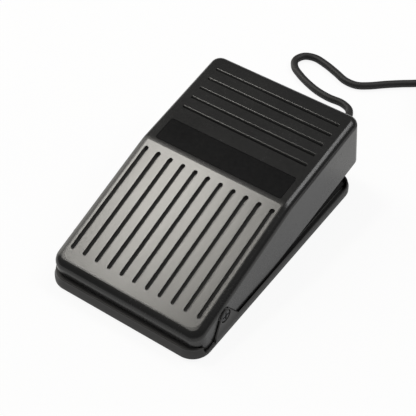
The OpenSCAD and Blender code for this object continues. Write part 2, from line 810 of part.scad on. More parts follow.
module switch_plunger() {
    top = lever_z + plunger_arm * tan(lever_rise) - lever_t / 2 / cos(lever_rise) - plunger_gap;
    color([0.75, 0.12, 0.1])
        translate([-1.5, lever_y - plunger_arm - 0.7, switch_top - 1]) cube([3, 1.4, top - switch_top + 1]);
}

module controller_chip() {
    at = [board_w / 2 - 7.4, board_y - 9.5, board_top];
    lead_pitch = 1.27;
    color([0.08, 0.08, 0.08]) translate(at) union() {
        translate([-2, -5, 0.15]) cube([4, 10, 1.6]);
        for (i = [0:7]) translate([-3.1, (i - 3.5) * lead_pitch - 0.2, 0]) cube([6.2, 0.4, 0.25]);
    }
}

module crystal() {
    at = [7.5 - board_w / 2, board_y - 11, board_top];
    color(steel) translate(at) {
        for (s = [-1, 1]) translate([0, s * 3.2, 0]) cylinder(h = 3.4, r = 1.8);
        translate([-1.8, -3.2, 0]) cube([3.6, 6.4, 3.4]);
    }
}

module capacitors() {
    can_r = 2.5;
    can_h = 6.5;
    chip = [2, 1.2, 0.8];
    color([0.12, 0.13, 0.2])
        pillar(board_w / 2 - 7.4, board_y + board_l / 2 - 14, board_top, board_top + can_h, can_r);
    color([0.6, 0.45, 0.25]) for (y = [-4, 1])
        translate([3.5 - board_w / 2, board_y + y, board_top]) cube(chip);
}

module resistors() {
    chip = [2, 1.2, 0.6];
    step = 2.4;
    color([0.1, 0.1, 0.1]) for (i = [0:3])
        translate([7.5 - board_w / 2, board_y - 2.5 + i * step, board_top]) cube(chip);
}

module cable_header() {
    color([0.92, 0.9, 0.85]) difference() {
        block([header_x - header_w / 2, header_y - header_l / 2, board_top],
              [header_x + header_w / 2, header_y + header_l / 2, board_top + header_h]);
        block([header_x - header_w / 2 + header_wall, header_y - header_l / 2 + header_wall, board_top + 1.5],
              [header_x + header_w / 2 - header_wall, header_y + header_l / 2 - header_wall, board_top + header_h + past]);
        for (i = [0:3]) pillar(header_x + (i - 1.5) * wire_pitch, header_y, 0, board_top + past, 0.4);
    }
}

module header_plug() {
    inset = header_wall + plug_gap;
    bottom = board_top + 1.5;
    color([0.92, 0.9, 0.85]) difference() {
        block([header_x - header_w / 2 + inset, header_y - header_l / 2 + inset, bottom],
              [header_x + header_w / 2 - inset, header_y + header_l / 2 - inset, board_top + header_h + 1]);
        for (i = [0:3]) pillar(header_x + (i - 1.5) * wire_pitch, header_y, 0, bottom + 3, 0.4);
    }
}

module header_pins() {
    color(gold) for (i = [0:3])
        pillar(header_x + (i - 1.5) * wire_pitch, header_y, board_z - 1, board_top + 4, 0.35);
}

// Four insulated wires from the stripped cord up to the header's plug, past the spring beside them
module cable_wires() {
    colours = [[0.7, 0.08, 0.06], [0.85, 0.85, 0.85], [0.1, 0.45, 0.12], [0.08, 0.08, 0.08]];
    top = board_top + header_h + 1;
    for (i = [0:3]) {
        off = (i - 1.5) * wire_pitch;
        bunch = [i < 2 ? -0.6 : 0.6, 0, i % 3 == 0 ? -0.6 : 0.6];
        start = [cord_x, cord_end_y, cord_z] + bunch;
        by_spring = [cord_x + 2.4, spring_y, cord_z + 0.3] + bunch;
        end = [header_x + off, header_y, top];
        color(colours[i]) tube([start, start + [0, -1.5, 0], by_spring, by_spring + [0.2, -5, 0.5],
                                end + [-off / 4, 6.5, bunch[2] - 3], end + [0, 3.4, 0.8], end + [0, 1.9, 2.6],
                                end + [0, 0.5, 2.7], end + [0, 0, 1.4], end], wire_r, 6, [1, 0, 0]);
    }
}

module cable_inner() {
    color(rubber_black) rod_y(cord_x, cord_end_y, relief_end_y, cord_z, cord_r, cord_r);
}

module cable_clamp() {
    half = clamp_x + 2.6;
    color(black_plastic) difference() {
        block([cord_x - half, clamp_y - clamp_l / 2, clamp_z], [cord_x + half, clamp_y + clamp_l / 2, clamp_z + clamp_t]);
        rod_y(cord_x, clamp_y - clamp_l, clamp_y + clamp_l, cord_z, cord_r + fit_gap, cord_r + fit_gap);
        for (s = [-1, 1]) pillar(cord_x + s * clamp_x, clamp_y, 0, clamp_z + past, screw_r + 0.1);
    }
}

module clamp_screws() {
    color(steel) for (s = [-1, 1])
        machine_screw(cord_x + s * clamp_x, clamp_y, clamp_z + clamp_t, clamp_t + 2.8);
}

module strain_relief() {
    inner = tray_rear - gate_l;
    rib_gap = 2;
    rib_l = 0.8;
    function taper(y) = lerp(relief_r, relief_end_r, (y - tray_rear) / relief_l);
    color(rubber_black) difference() {
        union() {
            rod_y(cord_x, inner - relief_flange_t, inner, cord_z, relief_flange_r, relief_flange_r);
            rod_y(cord_x, inner - 0.1, tray_rear + 0.1, cord_z, relief_r, relief_r);
            rod_y(cord_x, tray_rear, relief_end_y, cord_z, relief_r - 0.45, relief_end_r - 0.3);
            for (y = [tray_rear:rib_gap:relief_end_y - rib_l])
                rod_y(cord_x, y, y + rib_l, cord_z, taper(y), taper(y + rib_l));
        }
        rod_y(cord_x, inner - past, relief_end_y + past, cord_z, cord_r + fit_gap, cord_r + fit_gap);
    }
}

module usb_cable_run() {
    color(rubber_black) tube(cord_run, cord_r, 8);
}

module usb_cable_coil() {
    color(rubber_black) tube(coil_path, cord_r, 6);
}

module usb_cable_tail() {
    color(rubber_black) tube(cord_tail, cord_r, 8);
}

// Strap round the bundle of turns on the far side of the coil
module cable_tie() {
    clear = 0.2;
    strap_w = 5;
    bundle_in = coil_r - coil_pitch * layer_turns - cord_r;
    inner = sqrt(pow(bundle_in, 2) - pow(strap_w / 2, 2)) - clear;
    outer = coil_r + cord_r + clear;
    top = coil_z + coil_pitch * (coil_layers - 1) + cord_r + clear;
    color([0.03, 0.03, 0.03]) translate([coil_at[0], coil_at[1], 0]) rotate([0, 0, 35]) difference() {
        block([inner - tie_t, -strap_w / 2, 0], [outer + tie_t, strap_w / 2, top + tie_t]);
        block([inner, -strap_w, tie_t], [outer, strap_w, top]);
    }
}

module plug_grip() {
    x = tail_end[0];
    body_y = plug_y - grip_neck_l;
    neck_r = 2.9;
    color(rubber_black) difference() {
        union() {
            translate([x, body_y, plug_z]) rotate([90, 0, 0]) linear_extrude(grip_l)
                translate([0, -grip_h / 2]) rounded_plan(grip_w, 0, grip_h, 2, 2);
            rod_y(x, body_y - 0.2, plug_y, plug_z, neck_r, cord_r + 0.5);
            for (i = [0:2]) rod_y(x, body_y + 1 + i * 2.2, body_y + 2.2 + i * 2.2, plug_z, neck_r + 0.3 - i * 0.35, neck_r + 0.2 - i * 0.35);
        }
        block([x - shell_w / 2 - fit_gap, body_y - grip_l - past, plug_z - shell_h / 2 - fit_gap],
              [x + shell_w / 2 + fit_gap, body_y - grip_l + shell_in_grip, plug_z + shell_h / 2 + fit_gap]);
        for (s = [-1, 1]) for (i = [0:3])
            block([x + s * (grip_w / 2 + 0.1) - 0.5, body_y - 6 - i * 3, plug_z - 2], [x + s * (grip_w / 2 + 0.1) + 0.5, body_y - 4.8 - i * 3, plug_z + 2]);
    }
}

module plug_shell() {
    x = tail_end[0];
    back = plug_y - grip_neck_l - grip_l + shell_in_grip;
    front = back - shell_in_grip - shell_l;
    color(steel) difference() {
        block([x - shell_w / 2, front, plug_z - shell_h / 2], [x + shell_w / 2, back, plug_z + shell_h / 2]);
        block([x - shell_w / 2 + shell_t, front - past, plug_z - shell_h / 2 + shell_t],
              [x + shell_w / 2 - shell_t, back - 0.5, plug_z + shell_h / 2 - shell_t]);
        for (s = [-1, 1])
            block([x + s * 2.9 - 1.1, front + 4.4, plug_z - shell_h], [x + s * 2.9 + 1.1, front + 6.6, plug_z + shell_h]);
    }
}

module plug_tongue() {
    x = tail_end[0];
    back = plug_y - grip_neck_l - grip_l + shell_in_grip - 0.5;
    front = back - shell_in_grip - shell_l + 1.2;
    low = plug_z - shell_h / 2 + shell_t;
    color([0.92, 0.92, 0.9])
        block([x - shell_w / 2 + shell_t + 0.05, front, low + 0.02], [x + shell_w / 2 - shell_t - 0.05, back, low + tongue_t]);
}

module plug_contacts() {
    x = tail_end[0];
    back = plug_y - grip_neck_l - grip_l + shell_in_grip - 1;
    front = back - shell_in_grip - shell_l + 2.2;
    z = plug_z - shell_h / 2 + shell_t + tongue_t;
    color(gold) for (i = [0:3])
        block([x + (i - 1.5) * contact_pitch - contact_w / 2, front, z], [x + (i - 1.5) * contact_pitch + contact_w / 2, back, z + 0.2]);
}

base_tray();
rubber_feet();
hinge_screws();
pedal_cover();
tread_plate();
label_plate();
return_springs();
bumper_pads();
circuit_board();
board_screws();
switch_case();
switch_terminals();
switch_lever();
switch_plunger();
controller_chip();
crystal();
capacitors();
resistors();
cable_header();
header_plug();
header_pins();
cable_wires();
cable_inner();
cable_clamp();
clamp_screws();
strain_relief();
usb_cable_run();
usb_cable_coil();
usb_cable_tail();
cable_tie();
plug_grip();
plug_shell();
plug_tongue();
plug_contacts();
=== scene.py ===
"""USB foot pedal switch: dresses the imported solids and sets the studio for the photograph's view."""

import logging
import math
from dataclasses import dataclass, field
from enum import Enum
from typing import Any, Callable, Iterable, Sequence

import bmesh
import bpy
from mathutils import Matrix, Vector

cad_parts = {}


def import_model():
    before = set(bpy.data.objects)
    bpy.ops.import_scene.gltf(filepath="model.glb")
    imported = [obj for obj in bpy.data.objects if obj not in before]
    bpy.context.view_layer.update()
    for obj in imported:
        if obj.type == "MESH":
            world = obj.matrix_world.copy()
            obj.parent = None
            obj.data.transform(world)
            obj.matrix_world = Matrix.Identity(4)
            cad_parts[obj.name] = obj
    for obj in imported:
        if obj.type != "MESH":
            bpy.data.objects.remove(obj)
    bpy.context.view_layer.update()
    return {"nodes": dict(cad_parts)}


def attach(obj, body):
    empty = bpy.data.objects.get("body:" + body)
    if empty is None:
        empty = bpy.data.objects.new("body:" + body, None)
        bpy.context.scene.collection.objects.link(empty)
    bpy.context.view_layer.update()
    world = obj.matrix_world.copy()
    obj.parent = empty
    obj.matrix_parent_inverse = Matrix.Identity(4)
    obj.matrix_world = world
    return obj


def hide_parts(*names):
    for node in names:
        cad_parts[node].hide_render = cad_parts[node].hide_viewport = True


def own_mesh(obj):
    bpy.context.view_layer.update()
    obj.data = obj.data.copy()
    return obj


LOG = logging.getLogger("foot_pedal")
MM = 0.001  # a millimetre, in metres
SAME = 1e-5  # points this near are one, in millimetres
NEAR = 1e-3  # slack of a test on a place, in millimetres
PAST = 3.0  # how far a cutting shape reaches beyond what it cuts, in millimetres
SIDES = (-1, 1)
Point = tuple[float, float, float]
Colour = tuple[float, float, float]
Profile = Sequence[tuple[float, float]]
Test = Callable[[Vector], bool]
WHITE: Colour = (1.0, 1.0, 1.0)
WARM: Colour = (1.0, 0.972, 0.91)


class Body(Enum):
    """The rigid bodies that pieces ride on."""

    BASE = "base"
    PEDAL = "pedal"
    LEVER = "lever"
    PLUNGER = "plunger"


class Join(Enum):
    """How a tool shape changes a piece."""

    CUT = "DIFFERENCE"
    ADD = "UNION"


@dataclass(frozen=True)
class Layout:
    """Sizes that several sub-assemblies share, in millimetres.

    The cover's own frame is level, with its origin on the hinge, and is then tilted to rest.
    """

    base_l: float = 100.0
    base_w: float = 63.6
    lip_top: float = 4.0
    lip_t: float = 0.75
    front_lip_top: float = 5.0
    front_ledge: float = 3.4
    tray_z: float = 0.5
    floor_z: float = 2.3
    gutter_z: float = 1.2
    hinge_in: float = 16.5
    hinge_z: float = 9.5
    hinge_up: float = 8.55
    post_x: float = 26.6
    rest_tilt: float = 7.45
    cover_w: float = 61.6
    cover_h: float = 21.5
    front_u: float = -15.0
    rear_u: float = 86.5
    tread_l: float = 55.0
    tread_slope: float = 10.0
    foot_x: float = 22.5
    foot_in: float = 12.0
    spring_x: float = 13.0
    spring_in: float = 22.0
    stop_x: float = 22.0
    stop_in: float = 9.0
    gate_l: float = 4.0
    cord_x: float = -8.0
    cord_z: float = 4.2
    cord_d: float = 3.0

    @property
    def tilt(self) -> float:
        """Tilt of the cover at rest, in radians."""
        return math.radians(self.rest_tilt)

    @property
    def slope(self) -> float:
        """Slope of the tread against the rear top, in radians."""
        return math.radians(self.tread_slope)

    @property
    def tray_y(self) -> float:
        """Middle of the tray, front to rear, with the origin under the middle of the whole object."""
        mid = self.hinge_in - self.base_l / 2
        rear = mid + self.rear_u * math.cos(self.tilt) + self.hinge_up * math.sin(self.tilt)
        return (self.base_l / 2 - rear) / 2

    @property
    def tray_front(self) -> float:
        """Front of the tray."""
        return self.tray_y - self.base_l / 2

    @property
    def tray_rear(self) -> float:
        """Rear of the tray."""
        return self.tray_y + self.base_l / 2

    @property
    def hinge_y(self) -> float:
        """Place of the hinge, front to rear."""
        return self.tray_front + self.hinge_in

    @property
    def spring_y(self) -> float:
        """Place of the return springs, front to rear."""
        return self.tray_rear - self.spring_in

    @property
    def stop_y(self) -> float:
        """Place of the bumper pads, front to rear."""
        return self.tray_rear - self.stop_in

    @property
    def feet(self) -> list[tuple[float, float]]:
        """Places of the four feet."""
        ends = (self.tray_front + self.foot_in, self.tray_rear - self.foot_in)
        return [(side * self.foot_x, y) for side in SIDES for y in ends]

    @property
    def top_w(self) -> float:
        """Height of the level rear top above the hinge."""
        return self.cover_h - self.hinge_up

    @property
    def crease_u(self) -> float:
        """Place of the crease behind the hinge."""
        return self.front_u + self.tread_l

    @property
    def cover_place(self) -> Matrix:
        """Matrix that takes the level cover to rest."""
        return Matrix.Translation((0, self.hinge_y, self.hinge_z)) @ Matrix.Rotation(self.tilt, 4, "X")

    @property
    def rear_top(self) -> Matrix:
        """Matrix, in the cover's frame, of the rear top: y runs back from the crease."""
        return Matrix.Translation((0, self.crease_u, self.top_w))

    @property
    def tread(self) -> Matrix:
        """Matrix, in the cover's frame, of the tread: y is negative towards the front."""
        return self.rear_top @ Matrix.Rotation(self.slope, 4, "X")

    def level(self, u: float, z: float) -> float:
        """Returns the height, in the cover's frame, of a height over the floor.

        Args:
            u: Place along the cover, behind the hinge.
            z: Height over the floor, at rest.

        Returns:
            Height above the hinge, square to the cover.
        """
        return (z - self.hinge_z - u * math.sin(self.tilt)) / math.cos(self.tilt)


def merge_flat(bm: bmesh.types.BMesh, angle: float) -> None:
    """Merges faces that are nearly level with each other.

    Args:
        bm: The mesh.
        angle: Angle in radians up to which two faces become one.
    """
    bmesh.ops.dissolve_limit(
        bm, angle_limit=angle, use_dissolve_boundaries=False, verts=bm.verts[:], edges=bm.edges[:],
        delimit=set(),
    )


def along_y(a: Vector, b: Vector) -> bool:
    """Returns whether an edge runs along Y."""
    return abs(a.y - b.y) > 1


class Shape:
    """A solid in millimetres that grows by bmesh operators and ends as an object."""

    sides = 48  # steps round a rod

    def __init__(self) -> None:
        """Starts with nothing."""
        self.bm = bmesh.new()

    def box(self, low: Point, high: Point) -> list[bmesh.types.BMVert]:
        """Adds a box.

        Args:
            low: Lowest corner.
            high: Highest corner.

        Returns:
            The new vertices.
        """
        verts = bmesh.ops.create_cube(self.bm, size=1.0)["verts"]
        bmesh.ops.scale(self.bm, vec=Vector(high) - Vector(low), verts=verts)
        bmesh.ops.translate(self.bm, vec=(Vector(high) + Vector(low)) / 2, verts=verts)
        return verts

    def rod(self, start: Point, end: Point, radius: float) -> None:
        """Adds a closed round rod.

        Args:
            start: Middle of the first end.
            end: Middle of the other end.
            radius: Its radius.
        """
        along = Vector(end) - Vector(start)
        turn = along.to_track_quat("Z", "Y").to_matrix().to_4x4()
        bmesh.ops.create_cone(
            self.bm, cap_ends=True, cap_tris=False, segments=self.sides, radius1=radius, radius2=radius,
            depth=along.length, matrix=Matrix.Translation((Vector(start) + Vector(end)) / 2) @ turn,
        )

    def upright(self, x: float, y: float, low: float, high: float, radius: float) -> None:
        """Adds a round rod that stands between two heights."""
        self.rod((x, y, low), (x, y, high), radius)

    def turned(self, profile: Profile, axis_at: Point, axis: Point, steps: int = sides) -> None:
        """Adds a turned solid.

        Args:
            profile: Pairs of distance along the axis and radius, from one end to the other.
            axis_at: Point on the axis where the distance is zero.
            axis: Direction of the axis.
            steps: Number of steps round it.
        """
        way = Vector(axis).normalized()
        side = way.orthogonal().normalized()
        verts = [self.bm.verts.new(Vector(axis_at) + way * d + side * r) for d, r in profile]
        edges = [self.bm.edges.new(pair) for pair in zip(verts, verts[1:])]
        bmesh.ops.spin(
            self.bm, geom=verts + edges, cent=axis_at, axis=way, dvec=(0, 0, 0), angle=math.tau,
            steps=steps, use_merge=True, use_normal_flip=False, use_duplicate=False,
        )
        bmesh.ops.remove_doubles(self.bm, verts=self.bm.verts[:], dist=1e-4)

    def rounded_box(self, low: Point, high: Point, front_r: float, rear_r: float, segments: int) -> None:
        """Adds a box whose upright corners are round.

        Args:
            low: Lowest corner.
            high: Highest corner.
            front_r: Radius of the two corners towards -Y.
            rear_r: Radius of the two corners towards +Y.
            segments: Steps round a corner.
        """
        edges = dict.fromkeys(e for v in self.box(low, high) for e in v.link_edges)
        uprights = [e for e in edges if abs(e.verts[0].co.z - e.verts[1].co.z) > SAME]
        middle = (low[1] + high[1]) / 2
        for radius, rear in ((front_r, False), (rear_r, True)):
            chosen = [e for e in uprights if e.is_valid and (e.verts[0].co.y > middle) == rear]
            self.round(chosen, radius, segments)

    def round(self, edges: Iterable[bmesh.types.BMEdge], radius: float, segments: int) -> None:
        """Rounds edges.

        Args:
            edges: The edges.
            radius: Radius of the arc.
            segments: Steps round it.
        """
        bmesh.ops.bevel(
            self.bm, geom=list(edges), offset=radius, offset_type="OFFSET", affect="EDGES", segments=segments,
            profile=0.5, material=-1, clamp_overlap=False,
        )

    def round_where(self, test: Callable[[Vector, Vector], bool], radius: float, segments: int) -> None:
        """Rounds the edges whose two ends pass a test."""
        self.round([e for e in self.bm.edges if test(e.verts[0].co, e.verts[1].co)], radius, segments)

    def slice(self, point: Point, outward: Point, away: bool = False) -> None:
        """Splits faces along a plane.

        Args:
            point: A point on the plane.
            outward: The plane's normal.
            away: Whether to cut off what lies beyond the plane, and close the cut.
        """
        everything = self.bm.verts[:] + self.bm.edges[:] + self.bm.faces[:]
        bmesh.ops.bisect_plane(
            self.bm, geom=everything, dist=SAME, plane_co=point, plane_no=outward, clear_outer=away
        )
        if away:
            bmesh.ops.holes_fill(self.bm, edges=[e for e in self.bm.edges if e.is_boundary], sides=0)

    def draw_out(self, faces: Sequence[bmesh.types.BMFace], by: Point) -> None:
        """Extrudes faces and moves their copies."""
        made = bmesh.ops.extrude_face_region(self.bm, geom=faces)["geom"]
        bmesh.ops.translate(self.bm, vec=by, verts=[v for v in made if isinstance(v, bmesh.types.BMVert)])

    def made(self, name: str, place: Matrix | None = None) -> bpy.types.Object:
        """Turns the shape into an object, still in millimetres.

        Args:
            name: Name of the object.
            place: Where the shape goes, if it isn't there already.

        Returns:
            The new object, in the scene.
        """
        bmesh.ops.remove_doubles(self.bm, verts=self.bm.verts[:], dist=SAME)
        bmesh.ops.recalc_face_normals(self.bm, faces=self.bm.faces[:])
        mesh = bpy.data.meshes.new(name)
        self.bm.to_mesh(mesh)
        self.bm.free()
        if place is not None:
            mesh.transform(place)
        piece = bpy.data.objects.new(name, mesh)
        bpy.context.scene.collection.objects.link(piece)
        return piece


class Bench:
    """Joins, cuts and finishes pieces."""

    flat = math.radians(0.2)  # angle up to which two faces are merged
    room = 2.2  # shortest edge to soften, in widths of the soft edge
    alike = 0.9  # cosine from which two edges leave a point the same way

    @staticmethod
    def combine(piece: bpy.types.Object, tool: bpy.types.Object, join: Join) -> None:
        """Adds a tool shape to a piece or takes it away, and removes the tool.

        Args:
            piece: The piece to change.
            tool: A closed shape.
            join: What to do with it.
        """
        step = piece.modifiers.new("combine", "BOOLEAN")
        step.operation = join.value
        step.solver = "EXACT"
        step.object = tool
        graph = bpy.context.evaluated_depsgraph_get()
        mesh = bpy.data.meshes.new_from_object(piece.evaluated_get(graph))
        piece.modifiers.clear()
        old = piece.data
        piece.data = mesh
        bpy.data.meshes.remove(old)
        bpy.data.objects.remove(tool)

    @staticmethod
    def cut(piece: bpy.types.Object, tool: bpy.types.Object) -> None:
        """Takes a tool shape away from a piece."""
        Bench.combine(piece, tool, Join.CUT)

    @staticmethod
    def add(piece: bpy.types.Object, tool: bpy.types.Object) -> None:
        """Adds a tool shape to a piece."""
        Bench.combine(piece, tool, Join.ADD)

    @staticmethod
    def settle(piece: bpy.types.Object, ease: float = 0.0, place: Matrix | None = None,
               smooth: float = 38.0, crisp: Test | None = None) -> bpy.types.Object:
        """Brings a piece to its place in metres and shades it.

        Args:
            piece: The piece, in millimetres.
            ease: Width of the soft edge, in millimetres, or zero for none.
            place: Its place, in millimetres, if it isn't there already.
            smooth: Angle in degrees up to which faces shade as one surface.
            crisp: Test of a point, in the piece's frame, where edges stay sharp.

        Returns:
            The same piece.
        """
        bm = bmesh.new()
        bm.from_mesh(piece.data)
        bmesh.ops.remove_doubles(bm, verts=bm.verts[:], dist=1e-4)
        merge_flat(bm, Bench.flat)
        for face in bm.faces:
            face.smooth = True
        if ease > 0:
            Bench.mark_soft(bm, ease, smooth, crisp)
        bm.to_mesh(piece.data)
        bm.free()
        metres = Matrix.Scale(MM, 4)
        piece.data.transform(metres if place is None else metres @ place)
        if ease > 0:
            soft = piece.modifiers.new("soft_edges", "BEVEL")
            soft.width = ease * MM
            soft.segments = 3
            soft.profile = 0.5
            soft.limit_method = "WEIGHT"
            soft.use_clamp_overlap = False
        piece.data.set_sharp_from_angle(angle=math.radians(smooth))
        even = piece.modifiers.new("even_shading", "WEIGHTED_NORMAL")
        even.keep_sharp = True
        return piece

    @staticmethod
    def mark_soft(bm: bmesh.types.BMesh, ease: float, smooth: float, crisp: Test | None) -> None:
        """Marks the sharp edges that have room for a soft edge.

        Args:
            bm: The mesh, in millimetres.
            ease: Width of the soft edge.
            smooth: Angle in degrees from which an edge is sharp.
            crisp: Test of a point where edges stay sharp.
        """
        weight = bm.edges.layers.float.new("bevel_weight_edge")
        least = math.radians(smooth)
        sharp = {e for e in bm.edges if len(e.link_faces) == 2 and e.calc_face_angle(0.0) > least}
        cramped = {e for e in sharp if e.calc_length() < Bench.room * ease}
        if crisp is not None:
            cramped.update(e for e in sharp if all(crisp(v.co) for v in e.verts))
        for vert in bm.verts:
            here = [e for e in vert.link_edges if e in sharp]
            ways = [(e.other_vert(vert).co - vert.co).normalized() for e in here]
            for i, way in enumerate(ways):
                if any(way.dot(other) > Bench.alike for other in ways[:i]):
                    cramped.update(here)
        for edge in sharp - cramped:
            edge[weight] = 1.0

    @staticmethod
    def place(piece: bpy.types.Object, body: Body, slot: str, finish: "Finish",
              nodes: Sequence[str]) -> bpy.types.Object:
        """Gives a piece its body and finish, and hides the nodes that it stands for.

        Args:
            piece: The finished piece.
            body: The body that it moves with.
            slot: The record's material slot; not used.
            finish: What it is dressed in.
            nodes: The solids that it replaces.

        Returns:
            The same piece.
        """
        finish.dress(piece)
        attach(piece, body.value)
        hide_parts(*nodes)
        LOG.info("%s rides on %s", piece.name, body.value)
        return piece


class Value:
    """A shader socket that takes part in Python expressions."""

    def __init__(self, web: "Web", socket: Any) -> None:
        """Keeps the socket and the web of nodes that it belongs to."""
        self.web = web
        self.socket = socket

    def _math(self, operation: str, first: Any, second: Any) -> "Value":
        """Returns a Math node's result on two values."""
        return self.web.node("ShaderNodeMath", {"operation": operation}, {0: first, 1: second})

    def __add__(self, other: Any) -> "Value":
        """Sum."""
        return self._math("ADD", self, other)

    __radd__ = __add__

    def __sub__(self, other: Any) -> "Value":
        """Difference."""
        return self._math("SUBTRACT", self, other)

    def __rsub__(self, other: Any) -> "Value":
        """Difference, reflected."""
        return self._math("SUBTRACT", other, self)

    def __mul__(self, other: Any) -> "Value":
        """Product."""
        return self._math("MULTIPLY", self, other)

    __rmul__ = __mul__

    def __gt__(self, other: Any) -> "Value":
        """One where this is the greater."""
        return self._math("GREATER_THAN", self, other)

    def largest(self, other: Any) -> "Value":
        """The larger of two values."""
        return self._math("MAXIMUM", self, other)


class Web:
    """The nodes of one material or of the world."""

    def __init__(self, tree: bpy.types.NodeTree) -> None:
        """Starts an empty web in a node tree."""
        self.tree = tree
        tree.nodes.clear()

    def raw(self, kind: str, settings: dict[str, Any] | None = None,
            inputs: dict[Any, Any] | None = None) -> Any:
        """Adds a node.

        Args:
            kind: The node's type.
            settings: Its own settings, set first.
            inputs: Values or links of its sockets, by name or number.

        Returns:
            The node.
        """
        node = self.tree.nodes.new(kind)
        for key, value in (settings or {}).items():
            setattr(node, key, value)
        for key, value in (inputs or {}).items():
            socket = node.inputs[key]
            if isinstance(value, Value):
                self.tree.links.new(value.socket, socket)
            elif hasattr(value, "is_output"):
                self.tree.links.new(value, socket)
            elif isinstance(value, tuple) and len(value) == 3 and socket.type == "RGBA":
                socket.default_value = (*value, 1.0)
            else:
                socket.default_value = value
        return node

    def node(self, kind: str, settings: dict[str, Any] | None = None, inputs: dict[Any, Any] | None = None,
             output: Any = 0) -> Value:
        """Adds a node and returns one of its outputs as a value."""
        return Value(self, self.raw(kind, settings, inputs).outputs[output])

    def principled(self, inputs: dict[str, Any]) -> Any:
        """Adds the shader that every finish ends in."""
        return self.raw("ShaderNodeBsdfPrincipled", None, inputs)

    def place(self) -> Value:
        """Object coordinates."""
        return self.node("ShaderNodeTexCoord", output="Object")

    def stretched(self, scale: Point) -> Value:
        """Object coordinates, scaled along each axis."""
        return self.node("ShaderNodeMapping", None, {"Vector": self.place(), "Scale": scale})

    def noise(self, scale: float, detail: float = 2.0, roughness: float = 0.5,
              at: Value | None = None) -> Value:
        """Noise of that many grains a metre, on object coordinates unless told otherwise."""
        inputs = {"Vector": at or self.place(), "Scale": scale, "Detail": detail, "Roughness": roughness}
        return self.node("ShaderNodeTexNoise", None, inputs, "Fac")

    def mix(self, factor: Any, a: Any, b: Any) -> Value:
        """Colour between a and b."""
        return self.node("ShaderNodeMix", {"data_type": "RGBA"}, {0: factor, 6: a, 7: b}, 2)

    def bump(self, height: Value, strength: float, distance: float) -> Value:
        """Normal of a height map, its distance in metres."""
        inputs = {"Height": height, "Strength": strength, "Distance": distance}
        return self.node("ShaderNodeBump", None, inputs)

    def surface(self, shader: Any) -> None:
        """Ends a material in a shader."""
        self.raw("ShaderNodeOutputMaterial", None, {"Surface": shader.outputs[0]})


@dataclass(frozen=True)
class Finish:
    """A surface finish that can dress any piece."""

    name: str
    colour: Colour

    def dress(self, piece: bpy.types.Object) -> None:
        """Puts the finish on a piece, in place of what it had.

        Args:
            piece: A mesh or curve object.
        """
        material = self.material()
        if not piece.data.materials:
            piece.data.materials.append(material)
        for slot in piece.material_slots:
            slot.material = material

    def material(self) -> bpy.types.Material:
        """Makes the finish's material on first use.

        Returns:
            The material.
        """
        key = f"{self.name}_finish"
        found = bpy.data.materials.get(key)
        if found is not None:
            return found
        made = bpy.data.materials.new(key)
        made.use_nodes = True
        made.diffuse_color = (*self.colour, 1.0)
        web = Web(made.node_tree)
        web.surface(self.shader(web))
        return made

    def tinted(self, gain: float, lift: float = 0.0) -> Colour:
        """Returns the finish's colour, made paler or darker."""
        red, green, blue = (min(1.0, c * gain + lift) for c in self.colour)
        return red, green, blue

    def shader(self, web: Web) -> Any:
        """Returns the finish's shader node, made in a material's web."""
        raise NotImplementedError


@dataclass(frozen=True)
class MouldedPlastic(Finish):
    """Injection-moulded plastic with a fine spark-eroded grain, and a little handling shine."""

    roughness: float = 0.42
    gloss: float = 0.35
    grain: float = 2600.0
    depth: float = 0.00004
    relief: float = 0.35
    worn: float = 0.10
    cloud: float = 38.0
    dusty: float = 0.16
    dust: float = 900.0

    def shader(self, web: Web) -> Any:
        """Makes the plastic's shader.

        Args:
            web: The material's nodes.

        Returns:
            The shader node.
        """
        grain = web.noise(self.grain, 3.0, 0.6)
        cloud = web.noise(self.cloud, 3.0, 0.55)
        dust = web.noise(self.dust, 4.0, 0.65)
        return web.principled({
            "Base Color": web.mix(cloud, self.colour, self.tinted(1.35, 0.004)),
            "Roughness": self.roughness + self.worn * (cloud - 0.5) + self.dusty * (dust - 0.5),
            "Specular IOR Level": self.gloss, "Normal": web.bump(grain, self.relief, self.depth),
        })


@dataclass(frozen=True)
class SatinTread(Finish):
    """Grey satin plate, finely blasted, a little glossier where feet rub it; its grey, lighter than the black
    cover, is painted sheen that stands in for the lamp's reflection on the tread.
    """

    roughness: float = 0.235
    gloss: float = 0.5
    blast: float = 4200.0
    mottle: float = 1500.0
    cloud: float = 30.0
    scuffs: Point = (900.0, 60.0, 60.0)
    warmth: Colour = (1.06, 1.05, 1.02)
    depth: float = 0.00003

    def shader(self, web: Web) -> Any:
        """Makes the plate's shader.

        Args:
            web: The material's nodes.

        Returns:
            The shader node.
        """
        blast = web.noise(self.blast, 2.0, 0.6)
        mottle = web.noise(self.mottle, 2.0, 0.6)
        cloud = web.noise(self.cloud, 3.0, 0.6)
        scuff = web.noise(1.0, 4.0, 0.7, web.stretched(self.scuffs))
        warm = tuple(c * w for c, w in zip(self.colour, self.warmth))
        return web.principled({
            # The base colour, lighter than the cover's black, is painted sheen; cloud and scuff noise vary it
            # between a darker and a warmer tone.
            "Base Color": web.mix(0.6 * cloud + 0.4 * scuff, self.tinted(0.90), warm),
            "Roughness": self.roughness + 0.02 * (scuff - 0.5) + 0.03 * (cloud - 0.5),
            "Specular IOR Level": self.gloss,
            "Normal": web.bump(0.5 * blast + 1.6 * mottle, 0.25, self.depth),
        })


@dataclass(frozen=True)
class Rubber(Finish):
    """Soft matt rubber or vinyl with a faint bloom."""

    roughness: float = 0.55
    gloss: float = 0.4
    bloom: float = 120.0
    pores: float = 3200.0
    depth: float = 0.00003

    def shader(self, web: Web) -> Any:
        """Makes the rubber's shader.

        Args:
            web: The material's nodes.

        Returns:
            The shader node.
        """
        bloom = web.noise(self.bloom, 4.0, 0.6)
        pores = web.noise(self.pores, 2.0, 0.6)
        return web.principled({
            "Base Color": web.mix(bloom, self.colour, self.tinted(1.5, 0.006)),
            "Roughness": self.roughness + 0.15 * (bloom - 0.5), "Specular IOR Level": self.gloss,
            "Normal": web.bump(pores, 0.25, self.depth),
        })


